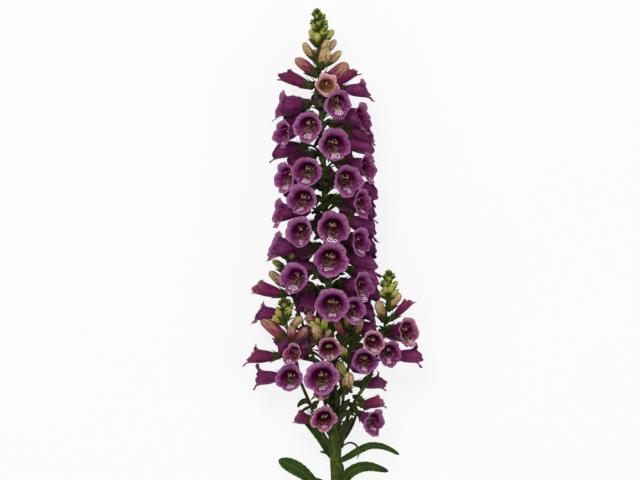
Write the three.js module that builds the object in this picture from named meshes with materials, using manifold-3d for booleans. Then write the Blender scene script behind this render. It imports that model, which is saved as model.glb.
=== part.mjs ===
// A cut foxglove flower spike, lying on its back.
// Millimetres. +Y runs from the cut end to the tip, +Z is up from the surface it lies on,
// and the origin is on that surface, under the middle of the spike.
import * as THREE from "three";
import { mergeVertices } from "three/addons/utils/BufferGeometryUtils.js";
import Module from "manifold-3d";

const wasm = await Module();
wasm.setup();

// ---------- driving dimensions ----------
const GAP = 0.3; // clearance between neighbouring pieces
const BELL_LENGTH = 32; // base to mouth of a full-size bell
const BELL_SEGMENTS = 10; // two to each of the five lobes
const LIP_REACH = 6; // how far the lower lip stands forward of the mouth
const MOUTH_SLANT = 2.5; // the mouth leans, its lower side forward and its upper side back
const TUBE_HEIGHT = 0.86; // the tube's height over its width
const LOBE_DEPTH = 0.07; // lobes and notches, as a share of the radius
const PEDICEL_RADIUS = 1.2;
const RECEPTACLE_RADIUS = 3;
const LEAF_THICKNESS = 1;
const PRESS_FROM = 10; // petals lower than this are pressed by the surface under them
const PRESS_STIFFNESS = 26;

// A bell's profile at full size: how far along, radius. Down the outside, then back up the inside.
const BELL_OUTSIDE = [
  [0, 3.2],
  [8, 5.4],
  [18, 9.8],
  [28, 11.2],
  [32.2, 16.5],
];
const BELL_INSIDE = [
  [33.2, 15.9],
  [29, 9.9],
  [17, 8],
];
const BELL_FLOOR = 8;

// ---------- stems: y, x, z, radius from the cut end (or the fork) to the tip ----------
const MAIN = [
  [-300, 6, 5, 5],
  [-250, 4, 14.5, 4.9],
  [-195, 1.5, 25.5, 4.8],
  [-140, 0, 33, 4.6],
  [-100, -1.7, 35.5, 4.3],
  [0, -5.8, 36.5, 3.7],
  [100, -10, 37, 3.2],
  [204, -14.4, 38, 2.4],
  [262, -17, 40, 1.8],
  [296, -18.5, 42.5, 1.1],
];
const SHOOT_LEFT = [
  [-161, -4, 32, 2.6],
  [-138, -17, 35.5, 2.4],
  [-113, -27, 36, 2.2],
  [-91, -36, 33.5, 2.1],
  [-71, -40, 33.5, 2],
  [-50, -47, 36, 1.8],
  [-27, -51, 38, 1.5],
  [-7, -53, 38, 1.1],
];
const SHOOT_LEFT_BACK = [
  [-145, -2.5, 29, 2.4],
  [-103, -13, 27, 2.2],
  [-61, -24, 26, 2.1],
  [-22, -37, 26, 1.9],
  [4, -46, 25, 1.7],
  [27, -49, 24, 1.4],
  [46, -50, 24, 1],
];
const SHOOT_FRONT = [
  [-149, -1, 35, 2.2],
  [-117, -4, 41, 2],
  [-82, -10, 42, 1.9],
  [-57, -14, 43, 1.7],
  [-31, -17, 46, 1.2],
];
const SHOOT_FRONT_RIGHT = [
  [-149, 4, 35, 2.2],
  [-111, 9, 42, 2],
  [-80, 14, 43, 1.8],
  [-54, 17, 42, 1.6],
  [-33, 15, 42, 1.2],
];
const SHOOT_RIGHT = [
  [-162, 7, 31, 2.8],
  [-127, 15, 35, 2.6],
  [-107, 25, 37, 2.4],
  [-91, 36, 37, 2.2],
  [-67, 44, 33, 2],
  [-46, 51, 31, 1.9],
  [-22, 54, 32, 1.7],
  [2, 56, 35, 1.4],
  [21, 57, 37, 1],
];

// ---------- bells: stem, mouth [x, y, height over the main stem], turn from straight up
// (degrees, to the right), droop, size, and width where it isn't the full one ----------
const BELLS = [
  // up the front and the sides of the main stem, from the tip down
  ["main_01", MAIN, [-7.5, 219, 34], 7, 5, 0.88, 0.86],
  ["main_02", MAIN, [33, 214, 4], 78, 5, 0.9, 0.82],
  ["main_03", MAIN, [4, 198, 36], 20, 28, 0.86],
  ["main_04", MAIN, [-56, 197, 8], -76, 8, 0.95, 1.08],
  ["main_05", MAIN, [29, 184, 12], 66, 18, 0.98],
  ["main_06", MAIN, [-29, 175, 37], -20, 18, 0.92],
  ["main_07", MAIN, [-56, 168, 20], -55, 14, 0.88],
  ["main_08", MAIN, [1, 156, 40], 12, 10, 1],
  ["main_09", MAIN, [33, 156, -14], 98, 12, 0.95],
  ["main_10", MAIN, [-60, 152, -8], -95, 8, 0.95],
  ["main_11", MAIN, [35, 132, 12], 62, 16, 0.96],
  ["main_12", MAIN, [-30, 128, 37], -16, 14, 0.95],
  ["main_13", MAIN, [-54, 122, 19], -50, 16, 0.98],
  ["main_14", MAIN, [15, 119, 33], 22, 14, 0.95],
  ["main_15", MAIN, [37, 107, -12], 95, 20, 1],
  ["main_16", MAIN, [-35, 99, 36], -18, 10, 0.95],
  ["main_17", MAIN, [31, 96, 22], 57, 14, 0.9],
  ["main_18", MAIN, [-58, 85, 12], -64, 12, 0.92],
  ["main_19", MAIN, [-1, 69, 41], 4, 10, 1.02],
  ["main_20", MAIN, [38, 70, -6], 92, 18, 1],
  ["main_21", MAIN, [-38, 65, 34], -24, 12, 0.95],
  ["main_22", MAIN, [29, 55, 27], 49, 12, 0.92],
  ["main_23", MAIN, [-62, 49, 9], -72, 8, 1],
  ["main_24", MAIN, [-4, 37, 43], 0, 8, 1.04],
  ["main_25", MAIN, [39, 34, -4], 88, 15, 1.08],
  ["main_26", MAIN, [-43, 17, 33], -30, 10, 0.97],
  ["main_27", MAIN, [32, 8, 22], 57, 12, 0.95],
  ["main_28", MAIN, [-2, -10, 44], 0, 6, 1.04],
  ["main_29", MAIN, [-30, -20, 8], -28, 70, 0.85],
  ["main_30", MAIN, [22, -17, 30], 35, 20, 0.85],
  ["main_31", MAIN, [-12, -130, 37], -8, 8, 0.9, 0.94],
  ["main_32", MAIN, [43, -135, 14], 38, 22, 0.8],
  // down the back of the main stem, where it lies on the surface
  ["back_01", MAIN, [13, 176, -30], 138, 10, 0.9],
  ["back_02", MAIN, [-38, 143, -31], -138, 10, 0.92],
  ["back_03", MAIN, [16, 96, -31], 138, 12, 0.95],
  ["back_04", MAIN, [-36, 46, -31], -138, 10, 0.95],
  ["back_05", MAIN, [21, 2, -31], 138, 12, 0.95],
  ["back_06", MAIN, [-32, -48, -31], -138, 12, 0.92],
  ["back_07", MAIN, [26, -70, -30], 138, 12, 0.9],
  // side shoots
  ["front_01", SHOOT_FRONT, [-6, -57, 38], 0, 10, 0.9, 0.87],
  ["front_02", SHOOT_FRONT, [-14, -86, 47], -5, 4, 1, 1.04],
  ["left_01", SHOOT_LEFT, [-79, -20, -4], -80, 0, 0.8, 0.95],
  ["left_02", SHOOT_FRONT, [-46, -62, 27], -44, 3, 0.9, 0.8],
  ["left_03", SHOOT_LEFT, [-88, -65, 2], -90, 0, 0.95, 0.8],
  ["left_04", SHOOT_LEFT, [-48, -87, 29], -12, 6, 0.82, 1.04],
  ["left_05", SHOOT_LEFT, [-81, -88, -2], -92, 4, 0.9, 0.88],
  ["right_01", SHOOT_RIGHT, [80, -39, 14], 48, 5, 0.95, 0.86],
  ["right_02", SHOOT_RIGHT, [41.5, -50, 34], 12, 10, 0.9, 0.84],
  ["right_03", SHOOT_RIGHT, [58, -62, 26], 16, 20, 0.85, 0.9],
  ["right_04", SHOOT_RIGHT, [87, -65, 0], 92, 2, 0.9, 0.85],
  ["right_05", SHOOT_RIGHT, [32, -70, 24], 5, 14, 0.85, 0.93],
  ["right_06", MAIN, [49, -93, -9], 85, -4, 0.88, 0.75],
];

// ---------- buds: stem, y of the foot on it, tip [x, y, height over the main stem], radius ----------
const BUDS = [
  [MAIN, 292.9, [-18.4, 300, 0], 1.5],
  [MAIN, 290.9, [-22.1, 296.6, 1], 1.4],
  [MAIN, 289.8, [-14.2, 296.1, 1], 1.4],
  [MAIN, 286.7, [-18.9, 292.9, 4], 1.5],
  [MAIN, 283.5, [-15.8, 290.9, -4], 1.6],
  [MAIN, 281.4, [-12.6, 288.8, 2], 1.8],
  [MAIN, 280.4, [-24.2, 287.7, 0], 1.7],
  [MAIN, 278.2, [-16.8, 285.6, 6], 1.8],
  [MAIN, 274.1, [-23.1, 283.5, 2], 2.5],
  [MAIN, 265.7, [-10, 279.3, 3], 3.4],
  [MAIN, 262.5, [-1.6, 276.2, -1], 2.9],
  [MAIN, 258.3, [-25.2, 276.2, 1], 3.2],
  [MAIN, 259.4, [-18.4, 273, 7], 2.9],
  [MAIN, 251, [0.5, 265.7, -1], 3.4],
  [MAIN, 251, [-7.4, 265.7, 7], 3.4],
  [MAIN, 242.6, [-31.5, 262.5, 0], 3.8],
  [MAIN, 235.2, [-8.4, 256.2, 9], 5.2],
  [MAIN, 237.3, [5.2, 254.1, -2], 3.6],
  [MAIN, 239.4, [-21.5, 256.2, -10], 3.6],
  [MAIN, 227.9, [-39.4, 245.7, 2], 4.8],
  [MAIN, 223.7, [14.2, 241.5, 3], 5.2],
  [SHOOT_LEFT, -9.5, [-53, -4.2, 0], 1.5],
  [SHOOT_LEFT, -13.7, [-57.8, -7.4, 0], 1.6],
  [SHOOT_LEFT, -12.6, [-47.2, -6.3, 2], 1.6],
  [SHOOT_LEFT, -18.9, [-53, -10.5, 5], 1.9],
  [SHOOT_LEFT, -18.9, [-43.6, -10.5, 1], 2],
  [SHOOT_LEFT, -22.1, [-60.9, -14.7, 0], 2.1],
  [SHOOT_LEFT, -26.2, [-46.7, -15.8, 5], 2.4],
  [SHOOT_LEFT, -28.4, [-57.8, -18.9, 4], 2.4],
  [SHOOT_LEFT, -42, [-35.2, -25.2, 6], 3.6],
  [SHOOT_LEFT, -53.6, [-29.9, -36.8, 9], 3.8],
  [SHOOT_LEFT, -51.5, [-44.6, -34.6, 10], 3.6],
  [SHOOT_LEFT_BACK, 44, [-51.5, 51.5, -13], 1.6],
  [SHOOT_LEFT_BACK, 36.8, [-55, 44, -13], 2.2],
  [SHOOT_LEFT_BACK, 32, [-44, 42, -11], 2.8],
  [SHOOT_LEFT_BACK, 20, [-64, 34, -12], 3],
  [SHOOT_LEFT_BACK, 6, [-67.2, 22, -9], 4],
  [SHOOT_FRONT, -40, [-18.4, -26, 11], 2.2],
  [SHOOT_FRONT, -47, [-24, -30, 13], 2.8],
  [SHOOT_FRONT, -50, [-9.5, -26, 13], 3],
  [SHOOT_FRONT, -56, [-20.5, -34, 17], 4.4],
  [SHOOT_FRONT, -50, [-5, -38, 10], 3],
  [SHOOT_FRONT_RIGHT, -43, [12, -27, 6], 2.4],
  [SHOOT_FRONT_RIGHT, -50, [27.8, -28, 6], 3.8],
  [SHOOT_FRONT_RIGHT, -54, [1.6, -29, 6], 3.8],
  [SHOOT_FRONT_RIGHT, -74, [8.4, -56, 12], 2.8],
  [SHOOT_FRONT_RIGHT, -98, [4.7, -72, 13], 4.2],
  [SHOOT_FRONT_RIGHT, -106, [15.5, -84, 15], 5.4],
  [SHOOT_RIGHT, 18.9, [57.2, 25.2, 0], 1.5],
  [SHOOT_RIGHT, 13.7, [53, 21, 0], 1.7],
  [SHOOT_RIGHT, 14.7, [62.5, 21, 1], 1.7],
  [SHOOT_RIGHT, 8.4, [57.2, 17.9, 5], 2],
  [SHOOT_RIGHT, 5.2, [50.4, 13.7, 0], 2.2],
  [SHOOT_RIGHT, 3.2, [65.6, 12.6, 0], 2.3],
  [SHOOT_RIGHT, -3.2, [59.3, 7.4, 6], 2.5],
  [SHOOT_RIGHT, -5.2, [49.4, 3.2, 2], 2.4],
  [SHOOT_RIGHT, -18.9, [68.2, -1.1, 1], 4],
  [SHOOT_RIGHT, -30.5, [45.7, -9.5, 4], 4.4],
  // bells still closed
  [MAIN, 212, [-53, 231, -8], 6.2],
  [MAIN, 212, [22, 238, 4], 6],
  [SHOOT_LEFT_BACK, -9, [-85, 3, 4], 7.6],
  [SHOOT_RIGHT, -128, [48, -108, 4], 6],
  [SHOOT_RIGHT, -28, [78, -8, -2], 5],
  [SHOOT_LEFT, -143, [-39, -133, 5], 4.6],
  [SHOOT_LEFT, -56, [-77, -29, -3], 5.6],
];

// ---------- leaves: midrib points [x, y, height over the stem], half width, fold ----------
const LEAVES = [
  ["leaf_lower_left", [[-3.7, -212, 2], [-15.2, -200.6, 6], [-25.7, -191.6, 8], [-36.2, -183.2, 9], [-46.7, -178, 7], [-58.8, -173.8, 3]], 7.5, 2.5],
  ["leaf_lower_right", [[2.6, -205.8, 2], [8.9, -195.3, 5], [16.3, -185.9, 8], [26.8, -180.6, 9], [37.3, -180.1, 8], [47.8, -183.2, 5], [56.7, -186.9, 1]], 5.4, 2.6],
  ["leaf_upper_right", [[1.6, -177.5, 2], [16.3, -168.5, 4], [26.8, -162.2, 5], [37.3, -158, 5], [47.8, -158.6, 4], [58.3, -162.8, 2], [68.3, -169.6, 0]], 3.6, 2],
  ["leaf_upper_left", [[-3.7, -173.2, -2], [-13.1, -153.3, -6], [-23.6, -140.7, -6], [-33.1, -133.3, -7]], 4.2, 1.5],
];

// ---------- geometry helpers ----------
const V = (x, y, z) => new THREE.Vector3(x, y, z);

// A stem's centre, direction and radius at y: a cubic through its table.
function stemAt(table, y) {
  const n = table.length;
  const at = Math.min(Math.max(y, table[0][0]), table[n - 1][0]);
  let i = 0;
  while (i < n - 2 && at > table[i + 1][0]) i++;
  const h = table[i + 1][0] - table[i][0];
  const t = (at - table[i][0]) / h;
  const slope = (k, c) => {
    const a = Math.max(k - 1, 0);
    const b = Math.min(k + 1, n - 1);
    return (table[b][c] - table[a][c]) / (table[b][0] - table[a][0]);
  };
  const value = (c) =>
    (1 + 2 * t) * (1 - t) ** 2 * table[i][c] +
    t * (1 - t) ** 2 * h * slope(i, c) +
    t * t * (3 - 2 * t) * table[i + 1][c] -
    t * t * (1 - t) * h * slope(i + 1, c);
  return { centre: V(value(1), at, value(2)), radius: value(3) };
}
const stemDirection = (table, y) =>
  stemAt(table, y + 0.5).centre.sub(stemAt(table, y - 0.5).centre).normalize();
const overStem = (y, z) => stemAt(MAIN, y).centre.z + z;
const place = ([x, y, z]) => V(x, y, overStem(y, z));

// A closed tube through centres with their directions and radii, from a cylinder.
function tube(centres, directions, radii, sides) {
  const rings = centres.length - 1;
  const g = new THREE.CylinderGeometry(1, 1, 1, sides, rings);
  const p = g.attributes.position;
  const frames = centres.map((c, i) => {
    const along = directions[i];
    const side = V(0.31, 0.2, 1).cross(along).normalize();
    return { c, side, other: side.clone().cross(along), r: radii[i] };
  });
  for (let i = 0; i < p.count; i++) {
    const f = frames[Math.round((p.getY(i) + 0.5) * rings)];
    const v = f.c
      .clone()
      .addScaledVector(f.side, p.getX(i) * f.r)
      .addScaledVector(f.other, p.getZ(i) * f.r);
    p.setXYZ(i, v.x, v.y, v.z);
  }
  return g;
}

// A closed geometry as a solid that can be cut and joined, and back.
function solid(g) {
  const bare = g.clone();
  bare.deleteAttribute("normal");
  bare.deleteAttribute("uv");
  const merged = mergeVertices(bare, 1e-4);
  return new wasm.Manifold(
    new wasm.Mesh({
      numProp: 3,
      vertProperties: new Float32Array(merged.attributes.position.array),
      triVerts: new Uint32Array(merged.index.array),
    }),
  );
}

function geometry(made) {
  const m = made.getMesh();
  const positions = new Float32Array(m.numVert * 3);
  for (let i = 0; i < m.numVert; i++)
    positions.set(m.vertProperties.subarray(i * m.numProp, i * m.numProp + 3), i * 3);
  const g = new THREE.BufferGeometry();
  g.setAttribute("position", new THREE.BufferAttribute(positions, 3));
  g.setIndex(new THREE.BufferAttribute(m.triVerts, 1));
  g.computeVertexNormals();
  return g;
}

function largest(made) {
  const bodies = made.decompose();
  return bodies.reduce((a, b) => (b.volume() > a.volume() ? b : a));
}

// ---------- pieces ----------
// A bell's axis, base and lower-lip direction.
function bellFrame([, , mouth, turn, droop, size, wide = 1]) {
  const f = THREE.MathUtils.degToRad(turn);
  const d = THREE.MathUtils.degToRad(droop);
  const axis = V(Math.sin(f) * Math.cos(d), -Math.sin(d), Math.cos(f) * Math.cos(d));
  const centre = place(mouth);
  const base = centre.clone().addScaledVector(axis, -BELL_LENGTH * size);
  const lip = V(0, -1, 0).addScaledVector(axis, axis.y).normalize();
  return { axis, base, lip, side: axis.clone().cross(lip), size, wide: size * wide };
}

// Petals near the surface are flattened by it, more the lower they reach.
function pressed(z) {
  const s = PRESS_FROM - z;
  return s <= 0 ? z : PRESS_FROM - s / (1 + s / PRESS_STIFFNESS);
}

function bell(spec) {
  const { axis, base, lip, side, size, wide } = bellFrame(spec);
  const profile = [[0, 0], ...BELL_OUTSIDE, ...BELL_INSIDE, [BELL_FLOOR, 0]];
  const g = new THREE.LatheGeometry(
    profile.map(([a, r]) => new THREE.Vector2(r, a)),
    BELL_SEGMENTS,
  );
  const p = g.attributes.position;
  for (let i = 0; i < p.count; i++) {
    const a = p.getY(i);
    const angle = Math.atan2(p.getX(i), p.getZ(i));
    const flare = THREE.MathUtils.smoothstep(a, 28.5, 32.5);
    const down = Math.max(Math.cos(angle), 0) ** 4;
    let r = Math.hypot(p.getX(i), p.getZ(i));
    r *= 1 + flare * (LOBE_DEPTH * Math.cos(5 * angle) + 0.16 * down);
    const slant = MOUTH_SLANT * Math.max(a / BELL_LENGTH, 0) ** 2 * Math.cos(angle);
    const along = a + slant + flare * LIP_REACH * down;
    const belly = 1.1 * Math.sin(Math.PI * Math.min(Math.max(a / BELL_LENGTH, 0), 1));
    const v = base
      .clone()
      .addScaledVector(axis, along * size)
      .addScaledVector(side, Math.sin(angle) * r * wide)
      .addScaledVector(lip, (Math.cos(angle) * r * TUBE_HEIGHT + belly) * wide);
    p.setXYZ(i, v.x, v.y, pressed(v.z));
  }
  return solid(g);
}

// The stalk of a bell, ending in the receptacle that its base sits on.
function pedicel(spec) {
  const { axis, base, wide } = bellFrame(spec);
  const table = spec[1];
  const near = stemAt(table, base.y).centre;
  const reach = Math.hypot(base.x - near.x, base.z - near.z);
  const from = stemAt(table, base.y - 4 - 0.35 * reach).centre;
  const end = base.clone().addScaledVector(axis, -GAP);
  const out = V(base.x - from.x, 0, base.z - from.z).normalize();
  const bend = new THREE.CubicBezierCurve3(
    from,
    from.clone().addScaledVector(out, reach * 0.4).add(V(0, reach * 0.4, 0)),
    end.clone().addScaledVector(axis, -reach * 0.45),
    end,
  );
  const at = [0, 0.45, 0.84, 1];
  const points = at.map((t) => bend.getPoint(t));
  const directions = at.map((t) => bend.getTangent(t));
  const r = PEDICEL_RADIUS;
  return solid(tube(points, directions, [r, r, r * 1.2, RECEPTACLE_RADIUS * wide], 5));
}

function bud([table, foot, tip, radius]) {
  const from = stemAt(table, foot).centre;
  const to = place(tip);
  const length = from.distanceTo(to);
  const profile = [
    [0, 0],
    [0.4 * radius, 0],
    [radius, 0.6 * length],
    [0.75 * radius, 0.86 * length],
    [0, length],
  ];
  const g = new THREE.LatheGeometry(
    profile.map(([r, a]) => new THREE.Vector2(r, a)),
    5,
  );
  g.applyQuaternion(
    new THREE.Quaternion().setFromUnitVectors(V(0, 1, 0), to.clone().sub(from).normalize()),
  );
  g.translate(from.x, from.y, from.z);
  return solid(g);
}

function stem(table, sides, rings, grow = 0) {
  const first = table[0][0];
  const last = table[table.length - 1][0];
  const ys = Array.from({ length: rings + 1 }, (_, i) => first + ((last - first) * i) / rings);
  return solid(
    tube(
      ys.map((y) => stemAt(table, y).centre),
      ys.map((y) => stemDirection(table, y)),
      ys.map((y) => stemAt(table, y).radius + grow),
      sides,
    ),
  );
}

// A stem with its buds and the stalks of its bells, all one growth.
function growth(table, sides, rings) {
  let made = stem(table, sides, rings);
  for (const b of BUDS) if (b[0] === table) made = made.add(bud(b));
  for (const b of BELLS) if (b[1] === table) made = made.add(pedicel(b));
  return made;
}

// A leaf blade along its midrib, pointed at both ends and folded up along it.
function leaf([, midrib, half, fold]) {
  const curve = new THREE.CatmullRomCurve3(midrib.map(place));
  const g = new THREE.BoxGeometry(2, 1, 1, 2, 10, 1);
  const p = g.attributes.position;
  for (let i = 0; i < p.count; i++) {
    const t = p.getY(i) + 0.5;
    const c = curve.getPoint(t);
    const along = curve.getTangent(t);
    const across = V(0, 0, 1).cross(along).normalize();
    const up = along.clone().cross(across);
    const width = 1 + (half - 1) * Math.sin(Math.PI * Math.min(t * 1.02, 1) ** 1.25) ** 0.8;
    const w = t > 0.97 ? 0.5 : width;
    c.addScaledVector(across, -p.getX(i) * w);
    c.addScaledVector(up, Math.abs(p.getX(i)) * fold * (w / half));
    c.addScaledVector(up, p.getZ(i) * LEAF_THICKNESS);
    p.setXYZ(i, c.x, c.y, c.z);
  }
  return solid(g);
}

// ---------- assembly ----------
const group = new THREE.Group();
const skins = {
  stem: new THREE.MeshStandardMaterial({ color: 0x50752a, roughness: 0.7, metalness: 0 }),
  leaf: new THREE.MeshStandardMaterial({ color: 0x3c5a1e, roughness: 0.65, metalness: 0 }),
  petal: new THREE.MeshStandardMaterial({ color: 0x7d3070, roughness: 0.6, metalness: 0 }),
};
function add(name, made, skin) {
  const mesh = new THREE.Mesh(geometry(made), skin);
  mesh.name = name;
  group.add(mesh);
}

const main = growth(MAIN, 8, 24)
  .add(growth(SHOOT_FRONT, 5, 5))
  .add(growth(SHOOT_FRONT_RIGHT, 5, 5));
add("main_stem", main, skins.stem);
const aroundMain = stem(MAIN, 8, 24, GAP + 0.1);
for (const [name, table] of [
  ["shoot_left", SHOOT_LEFT],
  ["shoot_left_back", SHOOT_LEFT_BACK],
  ["shoot_right", SHOOT_RIGHT],
])
  add(name, largest(growth(table, 5, 8).subtract(aroundMain)), skins.stem);
for (const l of LEAVES) add(l[0], largest(leaf(l).subtract(aroundMain)), skins.leaf);
for (const b of BELLS) add("corolla_" + b[0], bell(b), skins.petal);

export default group;
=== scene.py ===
import math
from collections import namedtuple

import bpy
import numpy as np
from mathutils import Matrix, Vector


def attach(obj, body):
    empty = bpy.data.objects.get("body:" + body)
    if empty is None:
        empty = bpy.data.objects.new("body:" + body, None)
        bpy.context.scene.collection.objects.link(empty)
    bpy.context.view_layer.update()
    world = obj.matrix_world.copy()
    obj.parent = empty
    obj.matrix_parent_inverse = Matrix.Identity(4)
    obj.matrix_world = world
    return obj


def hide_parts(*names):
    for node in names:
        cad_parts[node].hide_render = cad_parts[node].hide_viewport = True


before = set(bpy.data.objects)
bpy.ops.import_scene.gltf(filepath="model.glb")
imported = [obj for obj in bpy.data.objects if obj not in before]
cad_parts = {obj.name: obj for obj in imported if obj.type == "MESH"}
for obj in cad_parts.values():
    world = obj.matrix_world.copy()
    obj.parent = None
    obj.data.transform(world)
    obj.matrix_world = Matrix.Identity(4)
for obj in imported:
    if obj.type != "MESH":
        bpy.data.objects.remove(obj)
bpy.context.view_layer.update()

MM = 0.001

# ---------- the plan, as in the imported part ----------
# stems: y, x, z, radius from the cut end (or the fork) to the tip
MAIN = [
    (-300, 6, 5, 5), (-250, 4, 14.5, 4.9), (-195, 1.5, 25.5, 4.8), (-140, 0, 33, 4.6),
    (-100, -1.7, 35.5, 4.3), (0, -5.8, 36.5, 3.7), (100, -10, 37, 3.2),
    (204, -14.4, 38, 2.4), (262, -17, 40, 1.8), (296, -18.5, 42.5, 1.1),
]
SHOOT_LEFT = [
    (-161, -4, 32, 2.6), (-138, -17, 35.5, 2.4), (-113, -27, 36, 2.2), (-91, -36, 33.5, 2.1),
    (-71, -40, 33.5, 2), (-50, -47, 36, 1.8), (-27, -51, 38, 1.5), (-7, -53, 38, 1.1),
]
SHOOT_LEFT_BACK = [
    (-145, -2.5, 29, 2.4), (-103, -13, 27, 2.2), (-61, -24, 26, 2.1), (-22, -37, 26, 1.9),
    (4, -46, 25, 1.7), (27, -49, 24, 1.4), (46, -50, 24, 1),
]
SHOOT_FRONT = [
    (-149, -1, 35, 2.2), (-117, -4, 41, 2), (-82, -10, 42, 1.9), (-57, -14, 43, 1.7),
    (-31, -17, 46, 1.2),
]
SHOOT_FRONT_RIGHT = [
    (-149, 4, 35, 2.2), (-111, 9, 42, 2), (-80, 14, 43, 1.8), (-54, 17, 42, 1.6),
    (-33, 15, 42, 1.2),
]
SHOOT_RIGHT = [
    (-162, 7, 31, 2.8), (-127, 15, 35, 2.6), (-107, 25, 37, 2.4), (-91, 36, 37, 2.2),
    (-67, 44, 33, 2), (-46, 51, 31, 1.9), (-22, 54, 32, 1.7), (2, 56, 35, 1.4),
    (21, 57, 37, 1),
]
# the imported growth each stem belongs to
GROWTHS = [
    ("main_stem", [MAIN, SHOOT_FRONT, SHOOT_FRONT_RIGHT]),
    ("shoot_left", [SHOOT_LEFT]),
    ("shoot_left_back", [SHOOT_LEFT_BACK]),
    ("shoot_right", [SHOOT_RIGHT]),
]

# runs of bells: name, first number, stem; then mouth (x, y, height over the main stem), turn,
# droop, size, look, and width where it isn't the full one
BELLS = [
    ("main", 1, MAIN, [
        (-7.5, 218, 34, 7, 5, 0.88, "first", 0.9), (33, 214, 4, 78, 5, 0.9, "side", 0.82),
        (4, 198, 36, 20, 28, 0.86, "open"), (-56, 197, 8, -76, 8, 0.95, "side", 1.08),
        (29, 184, 12, 66, 18, 0.98, "side"), (-29, 175, 37, -20, 18, 0.92, "open"),
        (-56, 168, 20, -55, 14, 0.88, "open"), (1, 156, 40, 12, 10, 1, "open"),
        (35, 156, -14, 98, 12, 0.95, "side"), (-60, 152, -8, -95, 8, 0.95, "side"),
        (35, 132, 12, 62, 16, 0.96, "side"), (-30, 128, 37, -16, 14, 0.95, "open"),
        (-54, 122, 19, -50, 16, 0.98, "open"), (15, 119, 33, 22, 14, 0.95, "open"),
        (39, 107, -12, 95, 20, 1, "side"), (-35, 99, 36, -18, 10, 0.95, "open"),
        (31, 96, 22, 57, 14, 0.9, "open"), (-58, 85, 12, -64, 12, 0.92, "side"),
        (-1, 69, 41, 4, 10, 1.02, "open"), (40, 70, -6, 92, 18, 1, "side"),
        (-38, 65, 34, -24, 12, 0.95, "open"), (29, 55, 27, 49, 12, 0.92, "open"),
        (-62, 49, 9, -72, 8, 1, "side"), (-4, 37, 43, 0, 8, 1.04, "open"),
        (39, 34, -4, 88, 15, 1.08, "side"), (-43, 17, 33, -30, 10, 0.97, "open"),
        (32, 8, 22, 57, 12, 0.95, "open"), (-2, -10, 44, 0, 6, 1.04, "open"),
        (-30, -20, 8, -28, 70, 0.85, "hanging"), (22, -17, 30, 35, 20, 0.85, "open"),
        (-12, -130, 37, -8, 8, 0.9, "star", 0.84), (43, -135, 14, 47, 22, 0.8, "open", 1.06),
    ]),
    ("back", 1, MAIN, [
        (13, 176, -30, 138, 10, 0.9, "open"), (-38, 143, -31, -138, 10, 0.92, "open"),
        (16, 96, -31, 138, 12, 0.95, "open"), (-36, 46, -31, -138, 10, 0.95, "open"),
        (21, 2, -31, 138, 12, 0.95, "open"), (-32, -48, -31, -138, 12, 0.92, "open"),
        (26, -70, -30, 138, 12, 0.9, "open"),
    ]),
    ("front", 1, SHOOT_FRONT, [
        (-6, -57, 38, 0, 10, 0.9, "young", 0.87), (-14, -86, 47, -5, 4, 1, "open", 1.04),
    ]),
    ("left", 1, SHOOT_LEFT, [
        (-79, -20, -4, -80, 0, 0.8, "side", 0.95),
    ]),
    ("left", 2, SHOOT_FRONT, [
        (-46, -62, 27, -44, 3, 0.9, "young", 0.8),
    ]),
    ("left", 3, SHOOT_LEFT, [
        (-88, -65, 2, -90, 0, 0.95, "thin", 0.8), (-48, -87, 29, -12, 6, 0.82, "open", 1.04),
        (-81, -88, -2, -92, 4, 0.9, "reflexed", 0.88),
    ]),
    ("right", 1, SHOOT_RIGHT, [
        (80, -39, 14, 48, 5, 0.95, "young", 1.04), (41.5, -50, 34, 12, 10, 0.9, "young", 0.84),
        (58, -62, 26, 16, 20, 0.85, "open", 0.9), (87, -65, 0, 92, 2, 0.9, "reflexed", 0.85),
        (32, -70, 24, 5, 14, 0.85, "open", 0.93),
    ]),
    ("right", 6, MAIN, [
        (49, -93, -9, 85, -4, 0.88, "reflexed", 0.75),
    ]),
]
# more bells between them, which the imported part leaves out
FILLERS = [
    ("fill", 1, MAIN, [
        (-48, 184, -16, -112, 12, 0.85, "side", 0.95), (-44.5, 108, -16, -112, 14, 0.9, "side"),
        (-42, 68, -17, -112, 14, 0.88, "side"), (-40, 24, -16, -108, 14, 0.9, "side"),
        (-37, -8, -12, -100, 20, 0.85, "side"), (38, 168, -1, 84, 14, 0.85, "side"),
        (39, 88, -2, 84, 18, 0.88, "side"), (39, 50, -14, 102, 16, 0.9, "side"),
        (42, 17, -5, 88, 18, 0.95, "side"), (38, -19, -8, 88, 18, 0.9, "side"),
        (42, -40, -6, 84, 22, 0.88, "side"),
    ]),
    ("fill", 12, SHOOT_LEFT, [
        (-57, -59, 0, -84, 55, 0.7, "side"),
    ]),
    ("fill", 14, MAIN, [
        (-43, 196, -28, -140, 10, 0.85, "open"), (11, 142, -31, 140, 10, 0.9, "open"),
        (-36, 96, -31, -138, 10, 0.92, "open"), (18, 50, -31, 138, 12, 0.92, "open"),
        (-32, 0, -31, -138, 12, 0.9, "open"), (24, -34, -30, 138, 12, 0.88, "open"),
        (-10, 206, -28, 165, 10, 0.8, "open"), (-12, 122, -32, 175, 10, 0.85, "open"),
        (-9, 72, -32, 178, 10, 0.88, "open"), (-7, 26, -32, 176, 10, 0.88, "open"),
        (-6, -22, -31, 176, 10, 0.85, "open"),
    ]),
    ("fill", 25, SHOOT_RIGHT, [
        (72, -43, -10, 70, 6, 0.8, "side"),
    ]),
    ("fill", 26, MAIN, [
        (43, 2, -14, 104, 14, 0.9, "side"),
    ]),
    ("fill", 13, SHOOT_FRONT, [
        (-14, -106, 29, -8, 62, 0.6, "old"),
    ]),
]

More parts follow.
